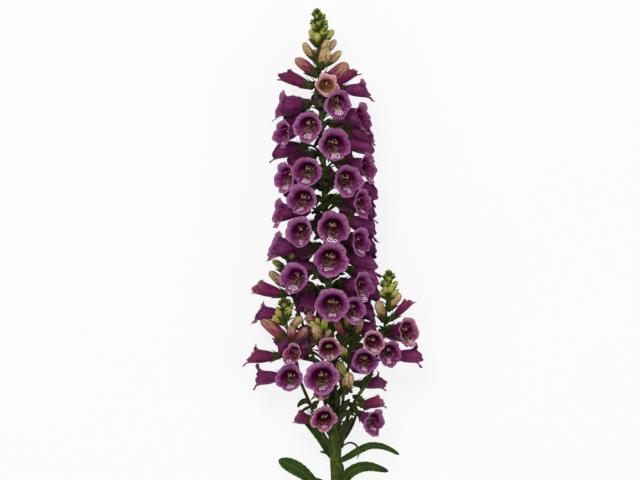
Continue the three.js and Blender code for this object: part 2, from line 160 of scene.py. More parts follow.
# runs of buds: stem, stage; then y of the foot on the stem, tip (x, y, height over the main
# stem), radius. "closed" ones are bells still closed
BUDS = [
    (MAIN, "green", [
        (292.9, -18.4, 300, 0, 1.5), (290.9, -22.1, 296.6, 1, 1.4), (289.8, -14.2, 296.1, 1, 1.4),
        (286.7, -18.9, 292.9, 4, 1.5), (283.5, -15.8, 290.9, -4, 1.6), (285, -10.5, 293.5, 3, 1.4),
        (279, -8.2, 287, 1, 1.7), (273, -7.8, 281, 5, 1.9), (281.4, -12.6, 288.8, 2, 1.8),
        (280.4, -24.2, 287.7, 0, 1.7), (278.2, -16.8, 285.6, 6, 1.8),
    ]),
    (MAIN, "lime", [
        (274.1, -23.1, 283.5, 2, 2.5), (265.7, -10, 279.3, 3, 3.4), (262.5, -1.6, 276.2, -1, 2.9),
        (258.3, -25.2, 276.2, 1, 3.2), (259.4, -18.4, 273, 7, 2.9),
    ]),
    (MAIN, "tan", [
        (251, 0.5, 265.7, -1, 3.4), (251, -7.4, 265.7, 7, 3.4), (242.6, -31.5, 262.5, 0, 3.8),
        (235.2, -8.4, 256.2, 9, 5.2), (237.3, 5.2, 254.1, -2, 3.6),
        (239.4, -21.5, 256.2, -10, 3.6),
    ]),
    (MAIN, "pink", [
        (227.9, -39.4, 245.7, 2, 4.8), (221, 12, 240, 8, 6.2),
    ]),
    (SHOOT_LEFT, "green", [
        (-9.5, -53, -4.2, 0, 1.5), (-13.7, -57.8, -7.4, 0, 1.6), (-12.6, -47.2, -6.3, 2, 1.6),
        (-18.9, -53, -10.5, 5, 1.9),
    ]),
    (SHOOT_LEFT, "lime", [
        (-18.9, -43.6, -10.5, 1, 2), (-22.1, -60.9, -14.7, 0, 2.1), (-27.2, -47.7, -14.8, 8, 3.1),
        (-28.4, -60.8, -17.9, 4, 2.9), (-33, -64, -24, 2, 3),
    ]),
    (SHOOT_LEFT, "tan", [
        (-42, -35.2, -25.2, 6, 3.6),
    ]),
    (SHOOT_LEFT, "pink", [
        (-53.6, -29.9, -36.8, 9, 3.8), (-51.5, -44.6, -34.6, 10, 4.2),
    ]),
    (SHOOT_LEFT_BACK, "green", [
        (44, -51.5, 51.5, -13, 1.6), (36.8, -55, 44, -13, 2.2),
    ]),
    (SHOOT_LEFT_BACK, "lime", [
        (32, -44, 42, -11, 2.8), (20, -64, 34, -12, 3),
    ]),
    (SHOOT_LEFT_BACK, "tan", [
        (6, -67.2, 22, -9, 4),
    ]),
    (SHOOT_FRONT, "lime", [
        (-40, -18.4, -26, 11, 2.2), (-47, -24, -30, 13, 2.8), (-50, -9.5, -26, 13, 3),
    ]),
    (SHOOT_FRONT, "tan", [
        (-56, -20.5, -34, 17, 4.4), (-50, -5, -38, 10, 3),
    ]),
    (SHOOT_FRONT_RIGHT, "lime", [
        (-43, 12, -27, 6, 2.4),
    ]),
    (SHOOT_FRONT_RIGHT, "tan", [
        (-50, 27.8, -28, 6, 3.8),
    ]),
    (SHOOT_FRONT_RIGHT, "pink", [
        (-54, 1.6, -29, 6, 3.8),
    ]),
    (SHOOT_FRONT_RIGHT, "lime", [
        (-74, 8.4, -56, 12, 2.8), (-98, 4.7, -72, 13, 4.2),
    ]),
    (SHOOT_FRONT_RIGHT, "tan", [
        (-106, 15.5, -84, 15, 5.4),
    ]),
    (SHOOT_RIGHT, "green", [
        (18.9, 57.2, 25.2, 0, 1.5), (13.7, 53, 21, 0, 1.7), (14.7, 62.5, 21, 1, 1.7),
        (8.4, 57.2, 17.9, 5, 2), (5.2, 50.4, 13.7, 0, 2.2),
    ]),
    (SHOOT_RIGHT, "lime", [
        (3.2, 65.6, 12.6, 0, 2.3), (-3.2, 59.3, 7.4, 6, 2.9), (-5.2, 49.4, 3.2, 2, 2.7),
    ]),
    (SHOOT_RIGHT, "green", [
        (5, 54, 13, 5, 2.2),
    ]),
    (SHOOT_RIGHT, "lime", [
        (1, 61.5, 10, 5, 2.4), (-2, 53, 7, 5, 2.6), (-7, 66, 3, 4, 2.8),
    ]),
    (SHOOT_RIGHT, "tan", [
        (-18.9, 68.2, -1.1, 1, 4), (-30.5, 45.7, -9.5, 4, 4.4),
    ]),
    (SHOOT_FRONT, "pink", [
        (-36, -28, -24, 4, 4.6),
    ]),
    (MAIN, "closed", [
        (215, -57, 233, -8, 8.2), (212, 23, 237.5, 4, 7.8),
    ]),
    (SHOOT_LEFT_BACK, "closed", [
        (-3, -85, 9, 4, 8.6),
    ]),
    (SHOOT_RIGHT, "closed", [
        (-118, 52, -111.5, 8, 7.4), (-33, 81, -5, -2, 5.6),
    ]),
    (SHOOT_LEFT, "closed", [
        (-133, -41, -128, 6, 8.4),
    ]),
    (SHOOT_LEFT, "pink", [
        (-55, -75, -29, -3, 5.4),
    ]),
]

# leaves: name, midrib (x, y, height over the stem), half width, fold, where it is widest, teeth
LEAVES = [
    ("lower_left", [(-3.7, -213, 2), (-15.2, -202.6, 6), (-25.7, -194, 8), (-36.2, -185.8, 9),
                    (-46.7, -180, 7), (-58.8, -175, 3)], 7.4, 2.2, 0.72, 14),
    ("lower_right", [(2.6, -207, 2), (8.9, -197.3, 5), (16.3, -188, 8), (26.8, -182.4, 9),
                     (37.3, -181.6, 8), (47.8, -184.2, 5), (56.7, -187.2, 1)], 5.6, 2.4, 0.4, 12),
    ("upper_right", [(1.6, -178.5, 2), (16.3, -170.3, 4), (26.8, -164, 5), (37.3, -159.8, 5),
                     (47.8, -160, 4), (58.3, -163.6, 2), (68.3, -169.6, 0)], 3.7, 1.6, 0.42, 12),
    ("upper_left", [(-3.7, -173.2, -2), (-13.1, -153.3, -6), (-23.6, -140.7, -6),
                    (-33.1, -133.3, -7)], 5, 1.5, 0.5, 8),
]

# small leaves and curls: growth; then half width, path (x, y, height over the stem)
CURLS = [
    ("main_stem", [
        (1.0, [(7, -161, 3), (16, -156.5, 5), (22.5, -159, 6), (26, -166, 4), (24, -174, 2)]),
        (1.5, [(-4, -170, 2), (-10, -167, 4), (-15.5, -166, 3)]),
        (2.2, [(8, -156, 0), (14, -146, 2), (21, -132, 3), (24, -124, 2)]),
        (1.2, [(-9, -114, 8), (-15, -108.5, 10), (-21, -108, 9), (-25, -112, 6)]),
    ]),
    ("shoot_left", [
        (2.8, [(-25, -116, 3), (-29, -112.5, 5), (-34, -113.5, 6), (-39, -119, 3)]),
        (1.6, [(-24, -118, 2), (-31, -121, 5), (-37, -126, 4)]),
    ]),
    ("shoot_right", [
        (3.0, [(13, -115, 2), (18, -117, 4), (22, -122, 4), (25, -129, 2)]),
        (1.5, [(22, -110, 0), (29, -116, 1), (35, -123, 0)]),
    ]),
    ("main_stem", [
        (1.8, [(4, -198, 3), (7.5, -190, 5), (8.5, -182, 5), (6, -176, 4)]),
        (1.6, [(-4, -205, 3), (-12, -198, 5), (-20, -194, 4)]),
        (2.4, [(2, -150, 4), (8, -141, 8), (13, -131, 9)]),
        (2.2, [(-3, -152, 4), (-8, -142, 8), (-11, -131, 9)]),
        (3.6, [(-2, -118, 6), (-8, -108, 9), (-13, -100, 10)]),
        (2.4, [(0, -112, 7), (-4, -104, 10), (-12, -106, 12), (-17, -113, 9)]),
        (3.4, [(3, -138, 6), (7, -128, 10), (15, -124, 12), (21, -128, 9)]),
        (3.8, [(3, -128, 7), (10, -118, 11), (16, -110, 11)]),
        (3.4, [(2, -122, 8), (3, -110, 12), (1, -100, 12)]),
        (3.0, [(4, -106, 7), (13, -100, 10), (19, -104, 10)]),
    ]),
    ("shoot_right", [
        (3.2, [(19, -108, 2), (25, -109, 4), (30, -115, 3), (32, -123, 1)]),
    ]),
    ("main_stem", [
        (2.6, [(6, -150, 5), (14, -139, 8), (19, -129, 7)]),
        (3.0, [(0, -96, 8), (-6, -88, 11), (-13, -92, 12)]),
        (3.0, [(2, -90, 9), (10, -84, 12), (16, -76, 12)]),
        (3.4, [(3, -62, 8), (8, -54, 13), (15, -48, 12)]),
        (3.2, [(2, -42, 6), (8, -50, 11), (14, -58, 12)]),
        (3.4, [(14, -60, 6), (22, -54, 10), (33, -54, 9)]),
        (3.0, [(15, -54, 6), (23, -49, 10), (31, -44, 9)]),
        (2.8, [(-15, -72, 8), (-25, -68, 12), (-35, -68, 9)]),
    ]),
    ("shoot_right", [
        (3.2, [(30, -97, 2), (33, -90, 7), (39, -84, 8)]),
    ]),
    ("shoot_left", [
        (3.2, [(-22, -121, 3), (-20, -115, 9), (-16, -112, 11)]),
    ]),
    ("main_stem", [
        (3.6, [(-9, 94, 3), (-15, 90, 14), (-24, 84, 20)]),
        (3.6, [(-8, 68, 3), (-14, 63, 14), (-22, 57, 20)]),
        (4.2, [(-7, 28, 3), (-14, 23, 14), (-24, 15, 20)]),
        (3, [(-4, 20, 4), (3, 22, 14), (11, 21, 19)]),
        (3.2, [(-11, 166, 3), (-16, 161, 14), (-22, 154, 20)]),
    ]),
]

# ---------- measures ----------
BELL_LENGTH = 32
TUBE_HEIGHT = 0.86  # a tube's height over its width
LIMB_FROM = 24  # where the mouth begins to open
TUBE = [(0, 2.9), (1.5, 3.2), (4.5, 4.1), (8, 5.8), (12, 8), (16, 9.6), (20, 10.5), (24, 10.9)]
PRESS_FROM = 10
PRESS_STIFFNESS = 26
LEAST_Z = 0.4
FLOOR_GAP = 0.1
ROUND_END = 0.55  # how far a tube's round end stands out, over its radius
HALF_TURN = 3.1416
COLS = 60  # points round a bell
LIMB_ROWS = 14
TUBE_SHARE = 0.62  # the tube's share of a petal's map
MAP_STEP = 100  # each bell's spots lie a whole number of these along their map
MOUTH_ROUND = 13.5  # mm on that map to a radian of the mouth
CLOSED_LENGTH = 34  # of a closed bell of size 1
CLOSED_RADIUS = 11.2
# each kind's first seed
BELL_SEED, BUD_SEED, BRACT_SEED, CLOSED_SEED = 11, 200, 300, 400
LEAF_SEED, CURL_SEED, BETWEEN_SEED = 500, 700, 900
Y = np.array([0.0, 1.0, 0.0])
Z = np.array([0.0, 0.0, 1.0])
SLANTED = np.array([0.31, 0.2, 1.0])  # no tube starts out this way

# how a mouth opens. reach: the limb's length at the top, the sides and the lip. turn: how far
# it curls outwards there, in degrees. notch: the share cut out between lobes. point: over 1 is
# a pointed lobe, under 1 a round one. slant: how far the lip stands out. full: under 1 is a tube
# that is nearly as wide at its foot. frill: how wavy the edge is. bend: over 1 keeps the curl to
# the limb's outer part.
Look = namedtuple(
    "Look", "reach turn notch point slant full skin frill bend", defaults=(1, 1.25)
)
LOOKS = {
    "open": Look((11, 10.5, 13), (102, 98, 90), 0.38, 0.5, 4, 1, "ripe", 1.35),
    "side": Look((13, 12, 12.5), (98, 46, 56), 0.24, 0.5, 6, 0.85, "ripe", 1, 1.5),
    "old": Look((8, 7, 10), (50, 40, 40), 0.3, 0.7, 4, 0.9, "young"),
    "hanging": Look((5, 5, 7), (-15, -15, -5), 0.4, 0.7, 3, 0.7, "ripe"),
    "first": Look((12, 10.5, 11), (80, 70, 72), 0.66, 1, 3, 0.66, "first", 2.4),
    "young": Look((9.5, 8.5, 11.5), (94, 86, 84), 0.38, 0.55, 4, 0.85, "young", 1.3),
    "star": Look((12.5, 12.5, 14), (98, 94, 88), 0.56, 0.6, 4, 0.75, "young", 1.3),
    "thin": Look((14, 10, 11.5), (104, 44, 72), 0.34, 0.6, 6, 0.75, "young", 1.2, 1.7),
    "reflexed": Look((16, 13, 14), (108, 54, 78), 0.3, 0.55, 3, 0.8, "ripe", 1.2, 1.5),
    "closed": Look((7, 7, 8.5), (14, 4, 40), 0.4, 0.5, 4, 0.6, "fresh"),
}


# ---------- placing ----------
def through(table, at, column):
    """A smooth value through a table whose first column rises."""
    n = len(table)
    at = min(max(at, table[0][0]), table[-1][0])
    i = 0
    while i < n - 2 and at > table[i + 1][0]:
        i += 1
    h = table[i + 1][0] - table[i][0]
    t = (at - table[i][0]) / h

    def slope(k):
        a, b = max(k - 1, 0), min(k + 1, n - 1)
        return (table[b][column] - table[a][column]) / (table[b][0] - table[a][0])

    return (
        (1 + 2 * t) * (1 - t) ** 2 * table[i][column]
        + t * (1 - t) ** 2 * h * slope(i)
        + t * t * (3 - 2 * t) * table[i + 1][column]
        - t * t * (1 - t) * h * slope(i + 1)
    )


def stem_at(table, y):
    y = min(max(y, table[0][0]), table[-1][0])
    return np.array([through(table, y, 1), y, through(table, y, 2)])


def stem_radius(table, y):
    return through(table, y, 3)


def place(p):
    return np.array([p[0], p[1], through(MAIN, p[1], 2) + p[2]], float)


def unit(v):
    return v / np.linalg.norm(v)


def units(rows):
    return rows / np.linalg.norm(rows, axis=1)[:, None]


def lengths(path):
    """How far along a path each of its points is."""
    return np.concatenate([[0], np.cumsum(np.linalg.norm(np.diff(path, axis=0), axis=1))])


def turns(n, start=0.0):
    """n angles, evenly all round."""
    return np.linspace(start, start + 2 * np.pi, n + 1)[:-1]


def map_grid(across, along):
    return np.stack(np.broadcast_arrays(across[None, :], along[:, None]), 2)


def level_frame(path):
    """The ways across and up at each point of a path that lies fairly flat."""
    along = units(np.gradient(path, axis=0))
    across = units(np.cross(Z, along))
    return across, np.cross(along, across)


def blade_points(mid, across, up, w, wide, rise):
    """Points w of the half width to each side of a midrib, raised by rise."""
    across = np.broadcast_to(across, mid.shape)[:, None]
    return mid[:, None] + (w * wide[:, None])[..., None] * across + rise[..., None] * up[:, None]


def pressed(p):
    """Petals near the surface are flattened by it, and none goes through it."""
    z = p[..., 2]
    s = np.maximum(PRESS_FROM - z, 0)
    z = np.where(s > 0, PRESS_FROM - s / (1 + s / PRESS_STIFFNESS), z)
    over = z - LEAST_Z
    p[..., 2] = np.where(z < PRESS_FROM, LEAST_Z + (over + np.sqrt(over**2 + 0.3)) / 2, z)
    return p


def smooth_path(points, n):
    """n points along a smooth curve through the given ones."""
    p = np.array(points, float)
    steps = lengths(p)
    table = [(s, *q) for s, q in zip(steps, p)]
    at = np.linspace(0, steps[-1], n)
    return np.array([[through(table, s, c) for c in (1, 2, 3)] for s in at])


def bezier(a, b, c, d, n):
    t = np.linspace(0, 1, n)[:, None]
    return (1 - t) ** 3 * a + 3 * t * (1 - t) ** 2 * b + 3 * t * t * (1 - t) * c + t**3 * d


# ---------- mesh building ----------
class Shape:
    """Points, faces, two maps and material slots, gathered into one mesh."""

    def __init__(self):
        self.points, self.faces, self.maps, self.spots, self.slots = [], [], [], [], []
        self.count = 0

    def _points(self, p):
        first = self.count
        p = np.array(p, float).reshape(-1, 3)
        p[:, 2] = np.maximum(p[:, 2], FLOOR_GAP)  # nothing goes through the surface
        self.points.append(p)
        self.count += len(p)
        return first

    def _faces(self, f, uv, spots, slots):
        self.faces.extend(f.tolist())
        self.maps.append(uv.reshape(-1, 2))
        self.spots.append(spots.reshape(-1, 2))
        self.slots.append(np.broadcast_to(slots, len(f)))

    def grid(self, p, uv, slots, around=False, spots=None, flip=False):
        """Rows of points as quads. slots is one material or one for each row of faces."""
        rows, cols = p.shape[:2]
        first = self._points(p)
        spots = uv if spots is None else spots
        wide = cols if around else cols - 1
        i, j = (a.ravel() for a in np.meshgrid(range(rows - 1), range(wide), indexing="ij"))
        k = (j + 1) % cols
        f = np.stack([i * cols + j, i * cols + k, (i + 1) * cols + k, (i + 1) * cols + j], 1)
        corner = [(i, j), (i, j + 1), (i + 1, j + 1), (i + 1, j)]
        u = np.stack([uv[c] for c in corner], 1)
        s = np.stack([spots[c] for c in corner], 1)
        if flip:
            f, u, s = f[:, ::-1], u[:, ::-1], s[:, ::-1]
        self._faces(f + first, u, s, np.broadcast_to(slots, rows - 1)[i])
        return first

    def fan(self, ring, centre, uv, middle, slot, flip=False):
        """Closes a ring of point numbers to one point. uv has one more row than the ring."""
        c = self._points(centre)
        n = len(ring)
        ring = np.asarray(ring)
        f = np.stack([ring, np.roll(ring, -1), np.full(n, c)], 1)
        u = np.stack([uv[:n], uv[1 : n + 1], np.broadcast_to(middle, (n, 2))], 1)
        if flip:
            f, u = f[:, ::-1], u[:, ::-1]
        self._faces(f, u, u, slot)

    def tube(self, path, radii, sides, slot, ends=(None, None), ridges=0.0, count=5, turn=0.0):
        """A closed tube along a path. Its map is the share round it and the length in cm. ends
        holds a material for a flat end, or None for a round one."""
        path = np.asarray(path, float)
        n = len(path)
        along = units(np.gradient(path, axis=0))
        side = np.cross(SLANTED, along[0])
        frames = []
        for d in along:
            side = unit(side - d * np.dot(side, d))
            frames.append((side, np.cross(side, d)))
        angle = turns(sides)
        steps = lengths(path)
        radii = np.broadcast_to(radii, n)
        p = np.zeros((n, sides, 3))
        for i in range(n):
            r = radii[i] * (1 + ridges * np.cos(count * angle + turn + steps[i] * 0.01))
            a, b = frames[i]
            p[i] = path[i] + r[:, None] * (np.cos(angle)[:, None] * a + np.sin(angle)[:, None] * b)
        uv = map_grid(np.linspace(0, 1, sides + 1), steps / 10)
        first = self.grid(p, uv, slot, around=True)
        for end, row, way in ((ends[0], 0, -1), (ends[1], n - 1, 1)):
            tip = path[row] + along[row] * radii[row] * (ROUND_END if end is None else 0) * way
            cap = slot if end is None else end
            ring = first + row * sides + np.arange(sides)
            self.fan(ring, tip, uv[row], uv[row].mean(0), cap, way < 0)

    def sheet(self, top, normals, thickness, slot):
        """A thin closed blade from a grid of points. Its map is across and along, 0 to 1."""
        rows, cols = top.shape[:2]
        t = np.broadcast_to(thickness, (rows, cols))[..., None] / 2
        edge = np.ones(cols)
        edge[0] = edge[-1] = 0
        up = top + normals * t * edge[None, :, None]
        down = top - normals * t
        ring = np.concatenate([up, down[:, -2:0:-1]], 1)
        across = np.linspace(0, 1, cols)
        u = np.concatenate([across, across[-2:0:-1], across[:1]])
        v = np.linspace(0, 1, rows)
        uv = map_grid(u, v)
        n = ring.shape[1]
        first = self.grid(ring, uv, slot, around=True)
        for row, flip in ((0, True), (rows - 1, False)):
            edge = first + row * n + np.arange(n)
            self.fan(edge, ring[row].mean(0), uv[row], (0.5, v[row]), slot, flip)

    def blob(self, centre, a, b, c, slot, rows=6, cols=8):
        """A closed egg with half axes a, b and c; a is the long one."""
        t = np.linspace(0, np.pi, rows + 1)[1:-1]
        w = turns(cols)
        girth = np.cos(w)[None, :, None] * b + np.sin(w)[None, :, None] * c
        p = centre - np.cos(t)[:, None, None] * a + np.sin(t)[:, None, None] * girth
        uv = map_grid(np.linspace(0, 1, cols + 1), t / np.pi)
        outward = np.dot(np.cross(b, c), a) > 0
        first = self.grid(p, uv, slot, around=True, flip=not outward)
        self.fan(first + np.arange(cols), centre - a, uv[0], (0.5, 0), slot, outward)
        last = first + (len(t) - 1) * cols
        self.fan(last + np.arange(cols), centre + a, uv[-1], (0.5, 1), slot, not outward)

    def piece(self, name, materials, slot, replaces=()):
        mesh = bpy.data.meshes.new(name)
        points = np.concatenate(self.points) * MM
        mesh.from_pydata(points.tolist(), [], self.faces)
        mesh.uv_layers.new(name="shape").data.foreach_set("uv", np.concatenate(self.maps).ravel())
        mesh.uv_layers.new(name="spots").data.foreach_set("uv", np.concatenate(self.spots).ravel())
        mesh.polygons.foreach_set("material_index", np.concatenate(self.slots).astype(np.int32))
        mesh.polygons.foreach_set("use_smooth", [True] * len(self.faces))
        mesh.update()
        for m in materials:
            mesh.materials.append(m)
        o = bpy.data.objects.new(name, mesh)
        bpy.context.scene.collection.objects.link(o)
        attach(o, "root")
        if replaces:
            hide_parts(*replaces)
        return o


# ---------- materials ----------
def rgb(*colour):
    """A screen colour, 0 to 255, as the shader takes it."""
    c = [v / 255 for v in colour]
    return tuple(v / 12.92 if v <= 0.04045 else ((v + 0.055) / 1.055) ** 2.4 for v in c) + (1,)


class Skin:
    """A material and short ways to add nodes to it."""

    def __init__(self, name, roughness=0.55, specular=0.2):
        self.mat = bpy.data.materials.new(name)
        self.mat.use_nodes = True
        self.tree = self.mat.node_tree
        self.shader = self.tree.nodes["Principled BSDF"]
        self.shader.inputs["Roughness"].default_value = roughness
        self.shader.inputs["Specular IOR Level"].default_value = specular

    def add(self, kind, inputs=None, **settings):
        n = self.tree.nodes.new("ShaderNode" + kind)
        for k, v in settings.items():
            setattr(n, k, v)
        for k, v in (inputs or {}).items():
            self.put(n.inputs[k], v)
        return n

    def put(self, socket, value):
        if isinstance(value, bpy.types.NodeSocket):
            self.tree.links.new(value, socket)
        else:
            socket.default_value = value

    def math(self, operation, a, b=0.0):
        n = self.add("Math", operation=operation)
        self.put(n.inputs[0], a)
        self.put(n.inputs[1], b)
        return n.outputs[0]

    def times(self, a, b):
        return self.math("MULTIPLY", a, b)

    def plus(self, a, b):
        return self.math("ADD", a, b)

    def minus(self, a, b):
        return self.math("SUBTRACT", a, b)

    def size(self, a):
        return self.math("ABSOLUTE", a)

    def sine(self, a):
        return self.math("SINE", a)

    def centred(self, value, share):
        """A noise moved to lie round 0, and weakened."""
        return self.times(self.minus(value, 0.5), share)

    def fade(self, value, low, high):
        """0 below low, 1 above high, smooth between; the other way round if low is over high."""
        n = self.add("MapRange", interpolation_type="SMOOTHSTEP")
        self.put(n.inputs["Value"], value)
        ends = (low, high, 0.0, 1.0) if low < high else (high, low, 1.0, 0.0)
        for k, v in zip(("From Min", "From Max", "To Min", "To Max"), ends):
            n.inputs[k].default_value = v
        return n.outputs["Result"]

    def ramp(self, value, stops):
        n = self.add("ValToRGB", {"Fac": value})
        e = n.color_ramp.elements
        while len(e) < len(stops):
            e.new(0.5)
        for k, (at, colour) in zip(e, stops):
            k.position, k.color = at, colour
        return n.outputs["Color"]

    def mix(self, factor, a, b):
        n = self.add("Mix", data_type="RGBA")
        for k, v in ((0, factor), (6, a), (7, b)):
            self.put(n.inputs[k], v)
        return n.outputs[2]

    def over(self, colour, top, mask, share):
        """colour with top laid over it where the mask is, at most by share."""
        return self.mix(self.times(mask, share), colour, top)

    def noise(self, vector, scale, detail=3.0, rough=0.55):
        inputs = {"Vector": vector, "Scale": scale, "Detail": detail, "Roughness": rough}
        return self.add("TexNoise", inputs).outputs["Fac"]

    def grain(self, scale, detail=3):
        return self.noise(self.place(), scale, detail)

    def streaks(self, vector, across, along):
        inputs = {"Vector": vector, "Scale": (across, along, 1.0)}
        return self.noise(self.add("Mapping", inputs).outputs["Vector"], 1.0)

    def cells(self, vector, scale, random):
        inputs = {"Vector": vector, "Scale": scale, "Randomness": random}
        return self.add("TexVoronoi", inputs, voronoi_dimensions="2D").outputs

    def map(self, name):
        return self.add("UVMap", uv_map=name).outputs["UV"]

    def split(self, vector):
        return self.add("SeparateXYZ", {"Vector": vector}).outputs

    def place(self):
        return self.add("TexCoord").outputs["Object"]

    def own(self, vector):
        """A place on the spots map, in mm along its bell's own lip, whatever the bell's offset."""
        out = []
        for part, low, high in zip(self.split(vector), (-50, 0), (50, 100)):
            n = self.add("Math", operation="WRAP")
            for k, v in enumerate((part, high, low)):
                self.put(n.inputs[k], v)
            out.append(n.outputs[0])
        return out

    def finish(self, colour, height, strength=0.3, distance=0.0003, rough=None):
        """Ends a material. rough is a noise, its share in the roughness, and the least of it."""
        self.put(self.shader.inputs["Base Color"], colour)
        if rough:
            noise, share, least = rough
            self.put(self.shader.inputs["Roughness"], self.plus(self.times(noise, share), least))
        bump = self.add("Bump", {"Height": height, "Strength": strength, "Distance": distance})
        self.put(self.shader.inputs["Normal"], bump.outputs["Normal"])
        return self.mat


def petal_outside(name, base, tube, limb, edge, dark):
    """Tube and back of the limb: lengthwise veins over a colour that pales towards the edge."""
    s = Skin(name, 0.5, specular=0.1)
    uv = s.map("shape")
    v = s.split(uv)[1]
    stops = [(0, base), (0.22, tube), (0.58, tube), (0.8, limb), (0.93, limb), (1, edge)]
    length = s.ramp(v, stops)
    veins = s.streaks(uv, 46, 3.5)
    cloud = s.grain(160)
    crease = s.grain(520, 2)
    tint = s.grain(26, 1)
    colour = s.mix(s.fade(veins, 0.45, 0.7), length, dark)
    colour = s.over(colour, limb, s.fade(cloud, 0.38, 0.72), 0.5)
    colour = s.over(colour, limb, s.fade(crease, 0.44, 0.66), 0.3)
    colour = s.over(colour, dark, s.fade(tint, 0.42, 0.62), 0.45)
    height = s.plus(s.times(veins, 0.8), s.times(crease, 0.8))
    return s.finish(colour, height, 0.6, 0.0006, (cloud, 0.25, 0.36))


def petal_inside(name, limb, edge, inner, throat, floor, ring, spot, pale, net=0.0):
    """Limb, throat and the spotted lip. The map's middle is the middle of the lip. net widens
    the mottled floor towards the whole throat."""
    s = Skin(name, 0.5, specular=0.08)
    uv, mm = s.map("shape"), s.map("spots")
    u, v = s.split(uv)[:2]
    off = s.size(s.minus(u, 0.5))  # 0 on the lip, 0.5 at the top
    wander = s.noise(mm, 0.22)
    off = s.plus(off, s.centred(wander, 0.12))
    deep = s.plus(v, s.centred(wander, 0.1))
    # limb, paler at the edge and darker towards the throat: the darkening is partly the throat's
    # own maroon and partly painted shade deep in the tube
    veins = s.streaks(uv, 40, 2.2)
    cloud = s.grain(260)
    crease = s.grain(560, 2)
    tint = s.grain(26, 1)
    colour = s.ramp(deep, [
        (0.2, throat), (0.64 + net / 4, inner), (0.78 + net / 5, limb), (0.86 + net / 5, limb),
        (0.96 + net / 20, edge),
    ])
    # painted highlight: the upper lobes of the limb are paled towards the edge colour
    top = s.times(s.fade(off, 0.22, 0.36), s.fade(v, 0.72, 0.9))
    colour = s.over(colour, edge, top, 0.6)
    # painted shade: the lower lip, short of its edge, is darkened towards the inner colour
    lip = s.times(s.fade(off, 0.24, 0.1), s.fade(v, 0.98, 0.9))
    colour = s.over(colour, inner, lip, 0.35)
    colour = s.over(colour, inner, s.fade(veins, 0.46, 0.62), 0.6)
    light = s.times(s.fade(cloud, 0.42, 0.7), s.fade(v, 0.6, 0.8))
    colour = s.over(colour, edge, light, 0.4)
    colour = s.over(colour, inner, s.fade(crease, 0.5, 0.66), 0.35)
    colour = s.over(colour, inner, s.fade(tint, 0.42, 0.62), 0.35)
    # the floor of the throat, mottled beige with dark dots
    within = s.fade(deep, 0.73 + net / 3, 0.6 + net / 3)
    low = s.times(s.fade(off, 0.28 + net, 0.09 + net), within)
    low = s.times(low, s.fade(s.noise(mm, 0.16, 2), 0.4, 0.52))
    dots = s.fade(s.cells(mm, 0.42, 0.9)["Distance"], 0.46, 0.3)
    beige = s.mix(dots, s.mix(s.fade(wander, 0.4, 0.6), floor, pale), spot)
    colour = s.over(colour, beige, low, 0.8)
    # small pale dots round the mouth
    dot = s.cells(mm, 0.34, 0.85)
    x, y = s.own(dot["Position"])
    on = s.times(s.fade(s.size(x), 11, 10.5), s.fade(y, 20, 20.5))
    on = s.times(on, s.fade(y, 33, 32.5))
    on = s.times(on, s.fade(s.split(dot["Color"])[0], 0.5, 0.55))
    on = s.times(on, s.fade(dot["Distance"], 0.2, 0.12))
    colour = s.over(colour, ring, on, 0.6)
    # ringed spots on the lip, each whole: one shows where its own middle is on the lip
    cell = s.cells(mm, 0.27, 0.62)
    d = cell["Distance"]
    x, y = s.own(cell["Position"])
    on = s.times(s.fade(s.size(x), 4.6, 4.4), s.fade(y, 23.6, 23.8))
    on = s.times(on, s.fade(y, 31.6, 31.4))
    colour = s.over(colour, ring, s.fade(d, 0.53, 0.48), on)
    colour = s.over(colour, spot, s.fade(d, 0.3, 0.24), on)
    height = s.plus(s.times(veins, 0.7), s.times(crease, 0.8))
    return s.finish(colour, height, 0.6, 0.0006, (cloud, 0.25, 0.38))


def green(name, low, mid, high):
    """Stems and stalks: streaked along their length, with paler down."""
    s = Skin(name, 0.5, specular=0.12)
    uv = s.map("shape")
    lines = s.streaks(uv, 9, 1.2)
    cloud = s.grain(90)
    down = s.grain(2600, 2)
    colour = s.mix(s.fade(lines, 0.38, 0.66), low, mid)
    colour = s.over(colour, high, s.fade(cloud, 0.45, 0.8), 0.6)
    colour = s.over(colour, high, s.fade(down, 0.6, 0.8), 0.35)
    height = s.plus(lines, s.times(down, 0.6))
    return s.finish(colour, height, 0.3, 0.0005, (cloud, 0.2, 0.4))


def blade_skin(name, low, mid, high, vein, ribs=9.0, scale=1.0):
    """Leaves, bracts and sepals: a midrib, side veins that run forward, and fine netting."""
    s = Skin(name, 0.5, specular=0.14)
    uv = s.map("shape")
    x, y = s.split(uv)[:2]
    off = s.size(s.minus(x, 0.5))
    wander = s.centred(s.grain(60, 2), 0.5)
    run = s.minus(s.times(y, ribs), s.times(off, ribs * 0.42))
    wave = s.size(s.sine(s.times(s.plus(run, wander), HALF_TURN)))
    side = s.fade(wave, 0.24, 0.04)
    rib = s.fade(off, 0.05, 0.018)
    lines = s.math("MAXIMUM", s.times(side, 0.55), rib)
    inputs = {"Vector": s.place(), "Scale": 900.0 * scale}
    net = s.add("TexVoronoi", inputs, feature="DISTANCE_TO_EDGE")
    mesh = s.fade(net.outputs["Distance"], 0.12, 0.02)
    cloud = s.grain(110, 4)
    colour = s.mix(s.fade(cloud, 0.32, 0.7), low, mid)
    colour = s.over(colour, high, s.fade(off, 0.36, 0.5), 0.35)
    colour = s.over(colour, vein, mesh, 0.22)
    colour = s.over(colour, vein, lines, 0.7)
    height = s.minus(s.times(cloud, 0.5), s.plus(lines, s.times(mesh, 0.3)))
    return s.finish(colour, height, 0.5, 0.0005, (cloud, 0.3, 0.34))


